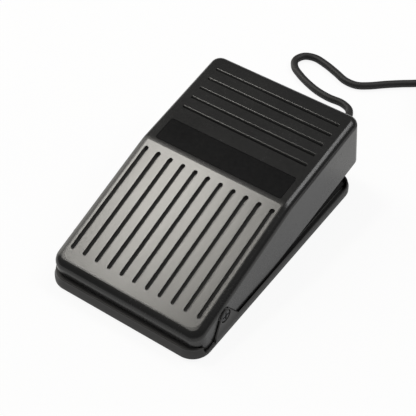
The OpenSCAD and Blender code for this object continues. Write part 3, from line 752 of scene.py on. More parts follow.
@dataclass(frozen=True)
class BrightMetal(Finish):
    """Turned, drawn or plated metal with fine lines along one axis."""

    roughness: float = 0.3
    lines: Point = (4000.0, 300.0, 4000.0)
    tarnish: float = 200.0
    depth: float = 0.00002

    def shader(self, web: Web) -> Any:
        """Makes the metal's shader.

        Args:
            web: The material's nodes.

        Returns:
            The shader node.
        """
        drawn = web.noise(1.0, 3.0, 0.6, web.stretched(self.lines))
        tarnish = web.noise(self.tarnish, 4.0, 0.6)
        return web.principled({
            "Base Color": web.mix(tarnish, self.tinted(0.78), self.colour), "Metallic": 1.0,
            "Roughness": self.roughness + 0.18 * (drawn - 0.5) + 0.08 * (tarnish - 0.5),
            "Normal": web.bump(drawn, 0.15, self.depth),
        })


@dataclass(frozen=True)
class SolderMask(Finish):
    """Circuit board: green mask over faint copper tracks, with pale silk-screen grain."""

    roughness: float = 0.32
    gloss: float = 0.5
    tracks: float = 420.0
    weave: float = 1800.0
    depth: float = 0.00004

    def shader(self, web: Web) -> Any:
        """Makes the board's shader.

        Args:
            web: The material's nodes.

        Returns:
            The shader node.
        """
        tracks = web.node(
            "ShaderNodeTexBrick", {"offset": 0.5, "squash": 1.0},
            {"Vector": web.place(), "Scale": self.tracks, "Mortar Size": 0.09, "Mortar Smooth": 0.1,
             "Brick Width": 1.7, "Row Height": 0.6}, "Fac",
        )
        weave = web.noise(self.weave, 2.0, 0.5)
        red, green, blue = self.colour
        copper = (red * 1.6 + 0.01, green * 1.55, blue * 1.2)
        return web.principled({
            "Base Color": web.mix(tracks, self.colour, copper),
            "Roughness": self.roughness + 0.12 * (weave - 0.5),
            "Specular IOR Level": self.gloss, "Normal": web.bump(tracks, 0.3, self.depth),
        })


@dataclass(frozen=True)
class WovenStrap(Finish):
    """Narrow woven strap."""

    roughness: float = 0.9
    sheen: float = 0.3
    weave: float = 900.0
    fuzz: float = 2400.0
    depth: float = 0.00008

    def shader(self, web: Web) -> Any:
        """Makes the strap's shader.

        Args:
            web: The material's nodes.

        Returns:
            The shader node.
        """
        weave = web.node(
            "ShaderNodeTexBrick", {"offset": 0.5},
            {"Vector": web.place(), "Scale": self.weave, "Mortar Size": 0.12, "Brick Width": 0.8,
             "Row Height": 0.5}, "Fac",
        )
        fuzz = web.noise(self.fuzz, 3.0, 0.6)
        return web.principled({
            "Base Color": web.mix(fuzz, self.colour, self.tinted(2.2, 0.01)), "Roughness": self.roughness,
            "Sheen Weight": self.sheen, "Normal": web.bump(1 - weave, 0.5, self.depth),
        })


@dataclass(frozen=True)
class WireSleeves(Finish):
    """Four wire sleeves, told apart by their place across the board, in metres."""

    roughness: float = 0.38
    speckle: float = 1500.0
    borders: Point = (-0.0075, -0.0056, -0.0038)
    others: tuple[Colour, ...] = ((0.7, 0.7, 0.68), (0.02, 0.22, 0.03), (0.015, 0.015, 0.015))

    def shader(self, web: Web) -> Any:
        """Makes the sleeves' shader.

        Args:
            web: The material's nodes.

        Returns:
            The shader node.
        """
        across = web.node("ShaderNodeSeparateXYZ", None, {0: web.place()}, 0)
        colour: Any = self.colour
        for border, sleeve in zip(self.borders, self.others):
            colour = web.mix(across > border, colour, sleeve)
        rough = self.roughness + 0.1 * (web.noise(self.speckle) - 0.5)
        return web.principled({"Base Color": colour, "Roughness": rough})


COVER = MouldedPlastic("cover_black", (0.0105, 0.0105, 0.0105), roughness=0.25, gloss=0.4)
TRAY = MouldedPlastic("tray_black", (0.030, 0.0293, 0.0288), roughness=0.40, gloss=0.28, grain=2200.0)
LABEL = MouldedPlastic(
    "label_gloss", (0.0030, 0.0030, 0.0032), roughness=0.20, gloss=0.34, depth=0.00001, worn=0.03
)
# The tread plate's grey colour is painted sheen: it is lighter than the cover's black so that the tread looks
# lit and silver, and the overhead lamp's reflection gives the rest of that look.
TREAD = SatinTread("tread_silver", (0.045, 0.0445, 0.043))
FOOT_RUBBER = Rubber("foot_rubber", (0.012, 0.012, 0.012), roughness=0.75, gloss=0.25)
VINYL = Rubber("cord_vinyl", (0.014, 0.014, 0.014), roughness=0.5, gloss=0.32)
MOULDING = Rubber("soft_moulding", (0.014, 0.014, 0.014), roughness=0.46, gloss=0.42)
BLACK_STEEL = BrightMetal("black_screw", (0.055, 0.055, 0.058), roughness=0.38)
SCREW_STEEL = BrightMetal("screw_steel", (0.52, 0.52, 0.54))
SPRING_STEEL = BrightMetal("spring_steel", (0.58, 0.58, 0.6), roughness=0.24, lines=(2500.0, 2500.0, 600.0))
PLATED = BrightMetal("plated_pin", (0.78, 0.58, 0.22), roughness=0.22)
SHELL_STEEL = BrightMetal("plug_steel", (0.66, 0.66, 0.68), roughness=0.26)
BOARD = SolderMask("solder_mask", (0.012, 0.095, 0.035))
BLACK_CASE = MouldedPlastic("case_black", (0.018, 0.018, 0.02), roughness=0.45, grain=3200.0)
RED_PLUNGER = MouldedPlastic("plunger_red", (0.42, 0.018, 0.014), roughness=0.3)
CAN_SLEEVE = MouldedPlastic("capacitor_sleeve", (0.02, 0.022, 0.05), roughness=0.3)
IVORY = MouldedPlastic("ivory_plastic", (0.62, 0.58, 0.47), roughness=0.4)
STRAP = WovenStrap("strap_black", (0.012, 0.012, 0.012))
SLEEVES = WireSleeves("wire_sleeves", (0.45, 0.02, 0.015))


@dataclass
class Tray:
    """Shallow tray with its lip, front ledge, gutter, hinge ears, posts, board pillars and cord gate."""

    lay: Layout
    corner_r: float = 7.0
    corner_steps: int = 14
    inner_front_r: float = 2.6
    inner_steps: int = 12
    draft_from: float = 2.6
    draft: float = 0.4
    ear_r: float = 3.0
    ear_hole_r: float = 2.55
    ear_chamfer: float = 0.28
    ear_in: float = 0.35
    ear_front_flank: float = 22.9
    ear_rear_flank: float = 35.0
    notch_front: float = 4.8
    notch_in: float = 1.9
    notch_drop: float = 0.3
    post_w: float = 4.0
    post_r: float = 2.6
    post_bore_r: float = 1.12
    sunk: float = 0.6
    gutter_x: float = 28.4
    gutter_front: float = 6.1
    gate_w: float = 9.0
    gate_top: float = 7.6
    gate_round: float = 1.6
    gate_hole_r: float = 2.52
    gate_hole_l: float = 9.0
    flange_r: float = 3.05
    flange_t: float = 1.5
    foot_r: float = 4.6
    foot_recess: float = 1.0
    board_behind: float = 27.5
    board_x: float = 14.0
    board_y: float = 17.0
    pillar_z: float = 1.7
    pillar_r: float = 2.2
    pillar_top: float = 3.8
    bore_z: float = 1.6
    bore_r: float = 1.02
    clamp_x: float = 5.2
    clamp_in: float = 10.0
    clamp_top: float = 4.6
    spring_peg_r: float = 3.2
    spring_peg_h: float = 4.0
    stop_peg_r: float = 1.2
    soft: float = 0.34

    def build(self) -> None:
        """Builds the tray and puts it in place."""
        lay = self.lay
        half = lay.base_w / 2
        tray = self._outside().made("tray_moulding")
        Bench.cut(tray, self._well(lay.floor_z, lay.front_lip_top + PAST).made("well"))
        gutter = self._well(lay.gutter_z, lay.floor_z + 1).made("gutter")
        keep = Shape()
        front = lay.tray_front + self.gutter_front
        keep.box((-self.gutter_x, front, 0), (self.gutter_x, lay.tray_rear, lay.base_w))
        Bench.cut(gutter, keep.made("gutter_middle"))
        Bench.cut(tray, gutter)
        self._notch(tray)
        for side in SIDES:
            ear = self._ear(side, 0.0, half - lay.lip_t, half - self.ear_in, self.ear_chamfer)
            Bench.add(tray, ear.made("ear"))
            self._post(tray, side)
        self._gate(tray)
        holes = Shape()
        for side in SIDES:
            ends = [(side * x, lay.hinge_y, lay.hinge_z) for x in (half - lay.lip_t - 0.1, half + PAST)]
            holes.rod(ends[0], ends[1], self.ear_hole_r)
        for x, y in lay.feet:
            holes.upright(x, y, -PAST, lay.tray_z + self.foot_recess, self.foot_r)
        Bench.cut(tray, holes.made("tray_holes"))
        self._pillars(tray)
        Bench.settle(tray, self.soft)
        Bench.place(tray, Body.BASE, "tray_plastic", TRAY, ["base_tray"])

    def _well(self, low: float, high: float) -> Shape:
        """Makes the tray's inside.

        Args:
            low: Its lowest height.
            high: Its highest.

        Returns:
            The cutting shape.
        """
        lay = self.lay
        half = lay.base_w / 2 - lay.lip_t
        shape = Shape()
        shape.rounded_box(
            (-half, lay.tray_front + lay.front_ledge, low), (half, lay.tray_rear - lay.lip_t, high),
            self.inner_front_r, self.corner_r - lay.lip_t, self.inner_steps,
        )
        return shape

    def _outside(self) -> Shape:
        """Makes the tray's outside, whose lip leans in a little and is higher across the front.

        Returns:
            The closed shape.
        """
        lay = self.lay
        half = lay.base_w / 2
        shape = Shape()
        shape.rounded_box((-half, lay.tray_front, lay.tray_z), (half, lay.tray_rear, lay.lip_top),
                          self.corner_r, self.corner_r, self.corner_steps)
        shape.slice((0, 0, self.draft_from), (0, 0, 1))
        top = [v for v in shape.bm.verts if v.co.z > lay.lip_top - NEAR]
        lean = Vector((1 - self.draft / half, 1 - 2 * self.draft / lay.base_l, 1))
        bmesh.ops.scale(shape.bm, vec=lean, verts=top, space=Matrix.Translation((0, -lay.tray_y, 0)))
        self._raise_front(shape)
        return shape

    def _raise_front(self, shape: Shape) -> None:
        """Draws the lip up across the front.

        Args:
            shape: The tray's outside.
        """
        end = self.lay.tray_front + self.notch_front
        shape.slice((0, end, 0), (0, 1, 0))
        shape.bm.normal_update()
        front = [f for f in shape.bm.faces if f.normal.z > 0.99 and f.calc_center_median().y < end]
        shape.draw_out(front, (0, 0, self.lay.front_lip_top - self.lay.lip_top))
        bmesh.ops.delete(shape.bm, geom=front, context="FACES")

    @property
    def _ear_foot(self) -> tuple[float, float]:
        """How far an ear's foot reaches from the hinge.

        Returns:
            Distance in front of the hinge and distance behind it.
        """
        drop = self.lay.hinge_z - self.lay.floor_z
        flanks = (math.radians(self.ear_front_flank), math.radians(self.ear_rear_flank))
        front, rear = (
            self.ear_r * math.cos(a) + (self.ear_r * math.sin(a) + drop) * math.tan(a) for a in flanks
        )
        return front, rear

    def _ear(self, side: int, grow: float, inner: float, outer: float, chamfer: float = 0.0) -> Shape:
        """Returns a hinge ear's outline drawn out across X.

        Args:
            side: 1 for the right ear and -1 for the left.
            grow: How far the outline is raised, in millimetres.
            inner: Distance of its inner face from the middle.
            outer: Distance of its outer face from the middle.
            chamfer: Width of the chamfer round its outer face.

        Returns:
            The closed shape.
        """
        lay = self.lay
        foot_front, foot_rear = self._ear_foot
        upright = Matrix.Rotation(math.pi / 2, 4, "Y")
        shape = Shape()
        for x, less in ((inner, 0.0), (outer - chamfer, 0.0), (outer, chamfer)):
            turn = Matrix.Translation((side * x, lay.hinge_y, lay.hinge_z + grow)) @ upright
            bmesh.ops.create_circle(
                shape.bm, cap_ends=False, radius=self.ear_r - less, segments=shape.sides, matrix=turn
            )
            for y in (lay.hinge_y - foot_front + less, lay.hinge_y + foot_rear - less):
                shape.bm.verts.new((side * x, y, lay.floor_z + grow))
        hull = bmesh.ops.convex_hull(shape.bm, input=shape.bm.verts[:])
        spare = [g for g in hull["geom_interior"] + hull["geom_unused"] if isinstance(g, bmesh.types.BMVert)]
        bmesh.ops.delete(shape.bm, geom=list(dict.fromkeys(spare)), context="VERTS")
        merge_flat(shape.bm, 0.01)
        return shape

    def _notch(self, tray: bpy.types.Object) -> None:
        """Opens the lip in front of each ear.

        Args:
            tray: The tray so far.
        """
        lay = self.lay
        half = lay.base_w / 2
        low = lay.floor_z - self.notch_drop
        for side in SIDES:
            opening = Shape()
            x0, x1 = sorted((side * (half - lay.lip_t - self.notch_in), side * (half + PAST)))
            opening.box((x0, lay.tray_front + self.notch_front, low), (x1, lay.hinge_y, lay.lip_top + PAST))
            cutter = opening.made("lip_notch")
            keep = self._ear(side, -self.notch_drop, half - lay.lip_t - 1, half + PAST + 1)
            Bench.cut(cutter, keep.made("ear_keep"))
            Bench.cut(tray, cutter)

    def _post(self, tray: bpy.types.Object, side: int) -> None:
        """Adds a bored hinge post.

        Args:
            tray: The tray so far.
            side: 1 for the right post and -1 for the left.
        """
        lay = self.lay
        x0, x1 = sorted((side * (lay.post_x - self.post_w), side * lay.post_x))
        y, z, r = lay.hinge_y, lay.hinge_z, self.post_r
        post = Shape()
        post.box((x0, y - r, lay.floor_z - self.sunk), (x1, y + r, z))
        piece = post.made("post")
        for join, radius, past in ((Join.ADD, r, 0.0), (Join.CUT, self.post_bore_r, PAST)):
            rod = Shape()
            rod.rod((x0 - past, y, z), (x1 + past, y, z), radius)
            Bench.combine(piece, rod.made("post_rod"), join)
        Bench.add(tray, piece)

    def _gate(self, tray: bpy.types.Object) -> None:
        """Adds the block that the strain relief sits in.

        Args:
            tray: The tray so far.
        """
        lay = self.lay
        x, z = lay.cord_x, lay.cord_z
        front = lay.tray_rear - lay.gate_l
        half = self.gate_w / 2
        gate = Shape()
        gate.box((x - half, front, lay.floor_z - self.sunk), (x + half, lay.tray_rear, self.gate_top))
        high = self.gate_top - NEAR
        gate.round_where(lambda a, b: min(a.z, b.z) > high and abs(a.x - b.x) < NEAR, self.gate_round, 5)
        Bench.add(tray, gate.made("gate"))
        rods = ((lay.tray_rear - self.gate_hole_l, lay.tray_rear + PAST, self.gate_hole_r),
                (front - self.flange_t, front, self.flange_r))
        for y0, y1, radius in rods:
            hole = Shape()
            hole.rod((x, y0, z), (x, y1, z), radius)
            Bench.cut(tray, hole.made("gate_hole"))

    def _pillars(self, tray: bpy.types.Object) -> None:
        """Adds the pillars for the board, springs, bumpers and clamp.

        Args:
            tray: The tray so far.
        """
        lay = self.lay
        board_mid = lay.hinge_y + self.board_behind
        bored = [(side * self.board_x, board_mid + end * self.board_y, self.pillar_top)
                 for side in SIDES for end in SIDES]
        clamp_y = lay.tray_rear - self.clamp_in
        bored += [(lay.cord_x + side * self.clamp_x, clamp_y, self.clamp_top) for side in SIDES]
        pillars, bores = Shape(), Shape()
        for x, y, top in bored:
            pillars.upright(x, y, self.pillar_z, top, self.pillar_r)
            bores.upright(x, y, self.bore_z, top + PAST, self.bore_r)
        for side in SIDES:
            peg_top = lay.floor_z + self.spring_peg_h
            pillars.upright(side * lay.spring_x, lay.spring_y, self.pillar_z, peg_top, self.spring_peg_r)
            pillars.upright(side * lay.stop_x, lay.stop_y, self.pillar_z, self.pillar_top, self.stop_peg_r)
        Bench.add(tray, pillars.made("pillars"))
        Bench.cut(tray, bores.made("pillar_bores"))


@dataclass
class Cover:
    """Rocker cover with its tread plate and label, modelled level about the hinge."""

    lay: Layout
    skirt_t: float = 2.0
    top_t: float = 2.6
    front_corner_r: float = 5.0
    rear_corner_r: float = 4.0
    corner_steps: int = 10
    inner_steps: int = 6
    edge_r: float = 2.7
    edge_steps: int = 7
    relief_u: float = 14.0
    relief_rise: float = 0.55
    stop_gap: float = 0.3
    ledge_gap: float = 0.18
    ledge_room: float = 0.3
    pivot_r: float = 1.55
    pivot_in: float = 25.0
    boss_r: float = 3.2
    boss_l: float = 1.8
    sunk: float = 0.6
    plate_w: float = 55.6
    plate_l: float = 52.3
    plate_t: float = 1.2
    plate_front_r: float = 3.5
    plate_rear_r: float = 0.6
    plate_steps: int = 8
    plate_gap: float = 0.02
    rim_near: float = 0.5
    rim_corner: float = 4.0
    crease_gap: float = 0.4
    fold: float = 1.5
    fold_steps: int = 6
    slot_count: int = 11
    slot_pitch: float = 5.24
    slot_w: float = 1.9
    slot_l: float = 44.0
    slot_from_crease: float = 3.8
    slot_d: float = 1.8
    slot_flat: float = 0.01
    slot_steps: int = 8
    slot_hollow: float = 0.7
    press_in: float = 0.03
    press_lift: float = 0.1
    press_top: float = -0.5
    hollow_in: float = 0.08
    hollow_lift: float = 0.3
    small_steps: int = 5
    groove_count: int = 5
    groove_pitch: float = 5.19
    groove_from_crease: float = 18.45
    groove_l: float = 52.0
    groove_w: float = 1.5
    groove_d: float = 0.9
    groove_flank: float = 0.35
    groove_flat: float = 0.1
    groove_steps: int = 8
    label_w: float = 52.0
    label_l: float = 10.0
    label_t: float = 0.4
    label_r: float = 0.6
    label_gap: float = 0.15
    label_from_crease: float = 1.6
    notch_w: float = 7.8
    notch_h: float = 3.6
    notch_r: float = 1.5
    spring_top: float = 15.5
    seat_r: float = 5.8
    seat_top: float = 28.6
    peg_r: float = 2.6
    peg_l: float = 2.9
    stop_r: float = 2.5
    stop_z: float = 11.6
    stop_top: float = 30.2
    nose_behind: float = 20.0
    nose_z: float = 18.84
    nose_r: float = 1.0
    nose_w: float = 6.0
    nose_top: float = 19.9
    soft: float = 0.16
    plate_soft: float = 0.1

    def build(self) -> None:
        """Builds the cover, the tread plate and the label."""
        self._moulding()
        self._tread_plate()
        self._label()

    def _outside(self) -> Shape:
        """Makes the cover's outside form, with every outer edge round.

        Returns:
            The closed shape.
        """
        lay = self.lay
        half = lay.cover_w / 2
        shape = Shape()
        shape.box((-half, lay.front_u, -lay.hinge_up), (half, lay.rear_u, lay.top_w))
        for i in range(self.fold_steps + 1):
            shape.slice((0, lay.crease_u + self.fold * (2 * i / self.fold_steps - 1), 0), (0, 1, 0))
        for v in shape.bm.verts:
            if v.co.z > 0:
                v.co.z -= self._fall(v.co.y)
        shape.bm.normal_update()
        self._round_corners(shape, 0.0, self.corner_steps)
        tops = [f for f in shape.bm.faces if f.normal.z > 0.95]
        rim = [e for f in tops for e in f.edges if sum(g in tops for g in e.link_faces) == 1]
        shape.round(dict.fromkeys(rim), self.edge_r, self.edge_steps)
        self._trim_skirt(shape)
        return shape

    def _round_corners(self, shape: Shape, inset: float, segments: int) -> None:
        """Rounds the four upright corners of the cover's outside or inside.

        Args:
            shape: The outside or the inside.
            inset: How far the shape lies within the cover's outside.
            segments: Steps round a corner.
        """
        lay = self.lay
        ends = ((self.front_corner_r, lay.front_u + inset), (self.rear_corner_r, lay.rear_u - inset))
        for radius, end in ends:
            shape.round_where(
                lambda a, b: max(abs(a.y - end), abs(b.y - end)) < NEAR and abs(a.z - b.z) > NEAR,
                radius - inset, segments,
            )

    def _fall(self, u: float) -> float:
        """Returns how far the top lies below the level rear top, with a soft fold at the crease.

        Args:
            u: Place along the cover, behind the hinge.

        Returns:
            Depth below the rear top.
        """
        ahead = self.lay.crease_u - u
        steep = math.tan(self.lay.slope)
        if abs(ahead) < self.fold:
            return (ahead + self.fold) ** 2 / (4 * self.fold) * steep
        return max(ahead, 0.0) * steep

    def _trim_skirt(self, shape: Shape) -> None:
        """Relieves the skirt's lower edge towards the front, where it would meet the floor.

        Args:
            shape: The cover's outside.
        """
        lay = self.lay
        rear = (self.relief_u, -lay.hinge_up)
        hinge = (0.0, self.relief_rise - lay.hinge_up)
        front = (lay.front_u, lay.level(lay.front_u, lay.gutter_z + self.stop_gap))
        for a, b in ((rear, hinge), (hinge, front)):
            along = Vector((0, a[0] - b[0], a[1] - b[1])).normalized()
            shape.slice((0, b[0], b[1]), (0, along.z, -along.y), True)

    def _hollow(self) -> Shape:
        """Makes the cover's inside.

        Returns:
            The cutting shape.
        """
        lay = self.lay
        half = lay.cover_w / 2 - self.skirt_t
        front = lay.front_u + self.skirt_t
        crease = lay.crease_u + self.top_t * math.tan(lay.slope / 2)
        shape = Shape()
        rear, top = lay.rear_u - self.skirt_t, lay.top_w - self.top_t
        verts = shape.box((-half, front, -lay.cover_h), (half, rear, top))
        shape.slice((0, crease, 0), (0, 1, 0))
        for v in verts:
            if v.co.y < 0 and v.co.z > 0:
                v.co.z -= (crease - front) * math.tan(lay.slope)
        self._round_corners(shape, self.skirt_t, self.inner_steps)
        return shape

    def _ledge_room(self) -> Shape:
        """Makes the room at the front wall's foot, so that it ends just above the tray's ledge.

        Returns:
            The cutting shape.
        """
        lay = self.lay
        shape = Shape()
        shape.box((-lay.base_w, lay.front_u - PAST, -lay.cover_h),
                  (lay.base_w, lay.front_u + self.skirt_t + self.ledge_room,
                   lay.level(lay.front_u, lay.front_lip_top + self.ledge_gap)))
        return shape

    def _cord_notch(self) -> Shape:
        """Makes the arched notch over the cord.

        Returns:
            The cutting shape.
        """
        lay = self.lay
        half = self.notch_w / 2
        top = self.notch_h - lay.hinge_up
        shape = Shape()
        shape.box((lay.cord_x - half, lay.rear_u - self.skirt_t - 1, -lay.cover_h),
                  (lay.cord_x + half, lay.rear_u + PAST, top))
        shape.round_where(lambda a, b: min(a.z, b.z) > top - NEAR and abs(a.x - b.x) < NEAR, self.notch_r,
                          self.small_steps)
        return shape

    def _plate_outline(self, grow: float, low: float, high: float) -> Shape:
        """Makes the tread plate's outline.

        Args:
            grow: How far it is grown on every side.
            low: Its lowest height.
            high: Its highest.

        Returns:
            The shape, in the tread's frame.
        """
        half = self.plate_w / 2 + grow
        shape = Shape()
        shape.rounded_box(
            (-half, -self.plate_l - self.crease_gap - grow, low), (half, grow - self.crease_gap, high),
            self.plate_front_r + grow, self.plate_rear_r + grow, self.plate_steps,
        )
        return shape

    def _on_plate_rim(self, at: Vector) -> bool:
        """Tells whether a point lies on the joint round the tread plate.

        Args:
            at: The point, in the tread's frame.

        Returns:
            Whether it does.
        """
        near, half = self.rim_near, self.plate_w / 2
        ends = (-self.crease_gap, -self.crease_gap - self.plate_l)
        beside = abs(abs(at.x) - half) < near and at.y < near
        corner = abs(at.x) > half - self.rim_corner and at.y < ends[1] + self.rim_corner
        return abs(at.z) < 2 and (beside or corner or any(abs(at.y - end) < near for end in ends))

    def _slots(self, low: float, high: float, narrow: float = 0.0, hollow: float = 0.0) -> Shape:
        """Returns the tread's slots as shapes, in the tread's frame.

        Args:
            low: Height of their bottom.
            high: Height of their top.
            narrow: How much they are drawn in on every side.
            hollow: Radius of the bottom's edge, or zero for a flat bottom.

        Returns:
            All the slots.
        """
        radius = self.slot_w / 2 - narrow
        corner = radius - self.slot_flat
        front, rear = -self.slot_from_crease - self.slot_l - radius, radius - self.slot_from_crease
        shape = Shape()
        for i in range(self.slot_count):
            x = (i - (self.slot_count - 1) / 2) * self.slot_pitch
            ends = (x - radius, front, low), (x + radius, rear, high)
            shape.rounded_box(*ends, corner, corner, self.slot_steps)
        if hollow > 0:
            shape.round_where(lambda a, b: max(a.z, b.z) < low + NEAR, hollow, self.small_steps)
        return shape

    def _grooves(self) -> Shape:
        """Makes the cross grooves.

        Returns:
            The cutting shapes, in the rear top's frame.
        """
        run = self.groove_w - self.groove_flank - self.groove_flat
        sweep = 2 * math.atan2(self.groove_d, run)
        radius = run / math.sin(sweep)
        above, proud, lip = 0.6, 0.05, 0.015
        section = [(0.0, proud), (self.groove_flank, -self.groove_d)]
        for k in range(self.groove_steps + 1):
            turn = sweep * (1 - k / self.groove_steps)
            section.append((self.groove_w - radius * math.sin(turn), radius * (math.cos(turn) - 1) + lip))
        section += [(self.groove_w, above), (0.0, above)]
        shape = Shape()
        for i in range(self.groove_count):
            front = self.groove_from_crease + i * self.groove_pitch - self.groove_w / 2
            ring = [shape.bm.verts.new((-self.groove_l / 2, front + y, z)) for y, z in section]
            shape.draw_out([shape.bm.faces.new(ring)], (self.groove_l, 0, 0))
        return shape

    def _label_outline(self, grow: float, high: float) -> Shape:
        """Makes the label's outline.

        Args:
            grow: How far it is grown on every side.
            high: Its highest.

        Returns:
            The shape, in the rear top's frame.
        """
        half = self.label_w / 2 + grow
        front = self.label_from_crease
        shape = Shape()
        shape.rounded_box((-half, front - grow, -self.label_t), (half, front + self.label_l + grow, high),
                          self.label_r + grow, self.label_r + grow, self.small_steps)
        return shape

    def _moulding(self) -> None:
        """Builds the cover's shell with its recesses, slots, grooves, bosses and notch."""
        lay = self.lay
        cover = self._outside().made("cover_moulding")
        cuts = (
            (self._hollow(), "cover_hollow", None),
            (self._ledge_room(), "ledge_room", None),
            (self._plate_outline(self.plate_gap, -self.plate_t, PAST), "tread_recess", lay.tread),
            (self._slots(-self.slot_d, PAST), "cover_slots", lay.tread),
            (self._grooves(), "grooves", lay.rear_top),
            (self._label_outline(self.label_gap, PAST), "label_recess", lay.rear_top),
            (self._cord_notch(), "cord_notch", None),
        )
        for tool, name, place in cuts:
            Bench.cut(cover, tool.made(name, place))
        Bench.add(cover, self._bosses())
        bores = Shape()
        for side in SIDES:
            bores.rod((side * self.pivot_in, 0, 0), (side * (lay.cover_w / 2 + PAST), 0, 0), self.pivot_r)
        Bench.cut(cover, bores.made("hinge_bores"))
        to_tread = lay.tread.inverted()
        Bench.settle(cover, self.soft, lay.cover_place, crisp=lambda at: self._on_plate_rim(to_tread @ at))
        Bench.place(cover, Body.PEDAL, "cover_plastic", COVER, ["pedal_cover"])

    def _bosses(self) -> bpy.types.Object:
        """Makes the underside's hinge bosses, actuator, spring seats and stop posts.

        Returns:
            The piece, in the cover's frame.
        """
        lay = self.lay
        back = lay.cover_place.inverted()
        inner = lay.cover_w / 2 - self.skirt_t
        hinges, seats, pegs, rib = Shape(), Shape(), Shape(), Shape()
        for side in SIDES:
            hinges.rod((side * (inner - self.boss_l), 0, 0), (side * (inner + self.sunk), 0, 0), self.boss_r)
            x, y = side * lay.spring_x, lay.spring_y
            seats.upright(x, y, self.spring_top + 0.1, self.seat_top, self.seat_r)
            seats.upright(side * lay.stop_x, lay.stop_y, self.stop_z, self.stop_top, self.stop_r)
            pegs.upright(x, y, self.spring_top - self.peg_l, self.spring_top + 0.3, self.peg_r)
        half, y = self.nose_w / 2, lay.hinge_y + self.nose_behind
        pegs.rod((-half, y, self.nose_z), (half, y, self.nose_z), self.nose_r)
        rib.box((-half, y - self.nose_r, self.nose_z), (half, y + self.nose_r, self.nose_top))
        bosses = hinges.made("hinge_bosses")
        for shape, name in ((seats, "seats"), (pegs, "pegs"), (rib, "actuator_rib")):
            Bench.add(bosses, shape.made(name, back))
        return bosses

    def _tread_plate(self) -> None:
        """Builds the slotted tread plate, whose slots are pressed into the cover's."""
        place = self.lay.cover_place @ self.lay.tread
        plate = self._plate_outline(0.0, -self.plate_t, 0.0).made("tread_panel")
        pressed = self._slots(self.press_lift - self.slot_d, self.press_top, self.press_in)
        hollows = self._slots(self.hollow_lift - self.slot_d, PAST, self.hollow_in, self.slot_hollow)
        Bench.add(plate, pressed.made("pressed_slots"))
        Bench.cut(plate, hollows.made("slot_hollows"))
        Bench.settle(plate, self.plate_soft, place, crisp=self._on_plate_rim)
        # The plate's grey finish is painted sheen on what is black plastic.
        Bench.place(plate, Body.PEDAL, "tread_silver", TREAD, ["tread_plate"])

    def _label(self) -> None:
        """Builds the bare label plate."""
        label = self._label_outline(0.0, 0.0).made("label_panel")
        Bench.settle(label, self.plate_soft, self.lay.cover_place @ self.lay.rear_top)
        Bench.place(label, Body.PEDAL, "label_gloss", LABEL, ["label_plate"])


@dataclass
class Hinge:
    """The two shoulder screws that the cover turns on."""

    lay: Layout
    head_r: float = 2.3
    head_in: float = 30.95
    head_out: float = 31.35
    shoulder_r: float = 1.5
    thread_r: float = 1.1
    thread_l: float = 3.6
    point_in: float = 0.3
    point_l: float = 0.4
    dome: Profile = ((0.3, 0.0), (0.1, 0.2), (0.0, 0.55))
    cross_w: float = 0.75
    cross_l: float = 3.2
    cross_d: float = 0.35
    soft: float = 0.06

    def build(self) -> None:
        """Builds both screws as one piece."""
        lay = self.lay
        tip, out = lay.post_x - self.thread_l, self.head_out
        profile = [
            (tip, 0.0), (tip, self.thread_r - self.point_in), (tip + self.point_l, self.thread_r),
            (lay.post_x, self.thread_r), (lay.post_x, self.shoulder_r), (self.head_in, self.shoulder_r),
            (self.head_in, self.head_r), *((out - d, self.head_r - less) for d, less in self.dome),
            (out, 0.0),
        ]
        both = Shape()
        for side in SIDES:
            both.turned(profile, (0, lay.hinge_y, lay.hinge_z), (side, 0, 0))
        screws = both.made("hinge_pins")
        for side in SIDES:
            Bench.cut(screws, self._cross(side).made("cross_recess"))
        Bench.settle(screws, self.soft)
        Bench.place(screws, Body.BASE, "screw_steel", BLACK_STEEL, ["hinge_screws"])

    def _cross(self, side: int) -> Shape:
        """Makes the driver's recess in a screw head.

        Args:
            side: 1 for the right screw and -1 for the left.

        Returns:
            The cutting shape.
        """
        lay = self.lay
        shape = Shape()
        bmesh.ops.create_grid(shape.bm, x_segments=3, y_segments=3, size=1.5)
        corners = [f for f in shape.bm.faces if min(map(abs, f.calc_center_median()[:2])) > 0.5]
        bmesh.ops.delete(shape.bm, geom=corners, context="FACES")
        for v in shape.bm.verts:
            y, z = (math.copysign(self.cross_l if abs(c) > 1 else self.cross_w, c) / 2 for c in v.co[:2])
            v.co = (side * (self.head_out - self.cross_d), lay.hinge_y + y, lay.hinge_z + z)
        shape.draw_out(shape.bm.faces[:], (side * (self.cross_d + PAST), 0, 0))
        return shape


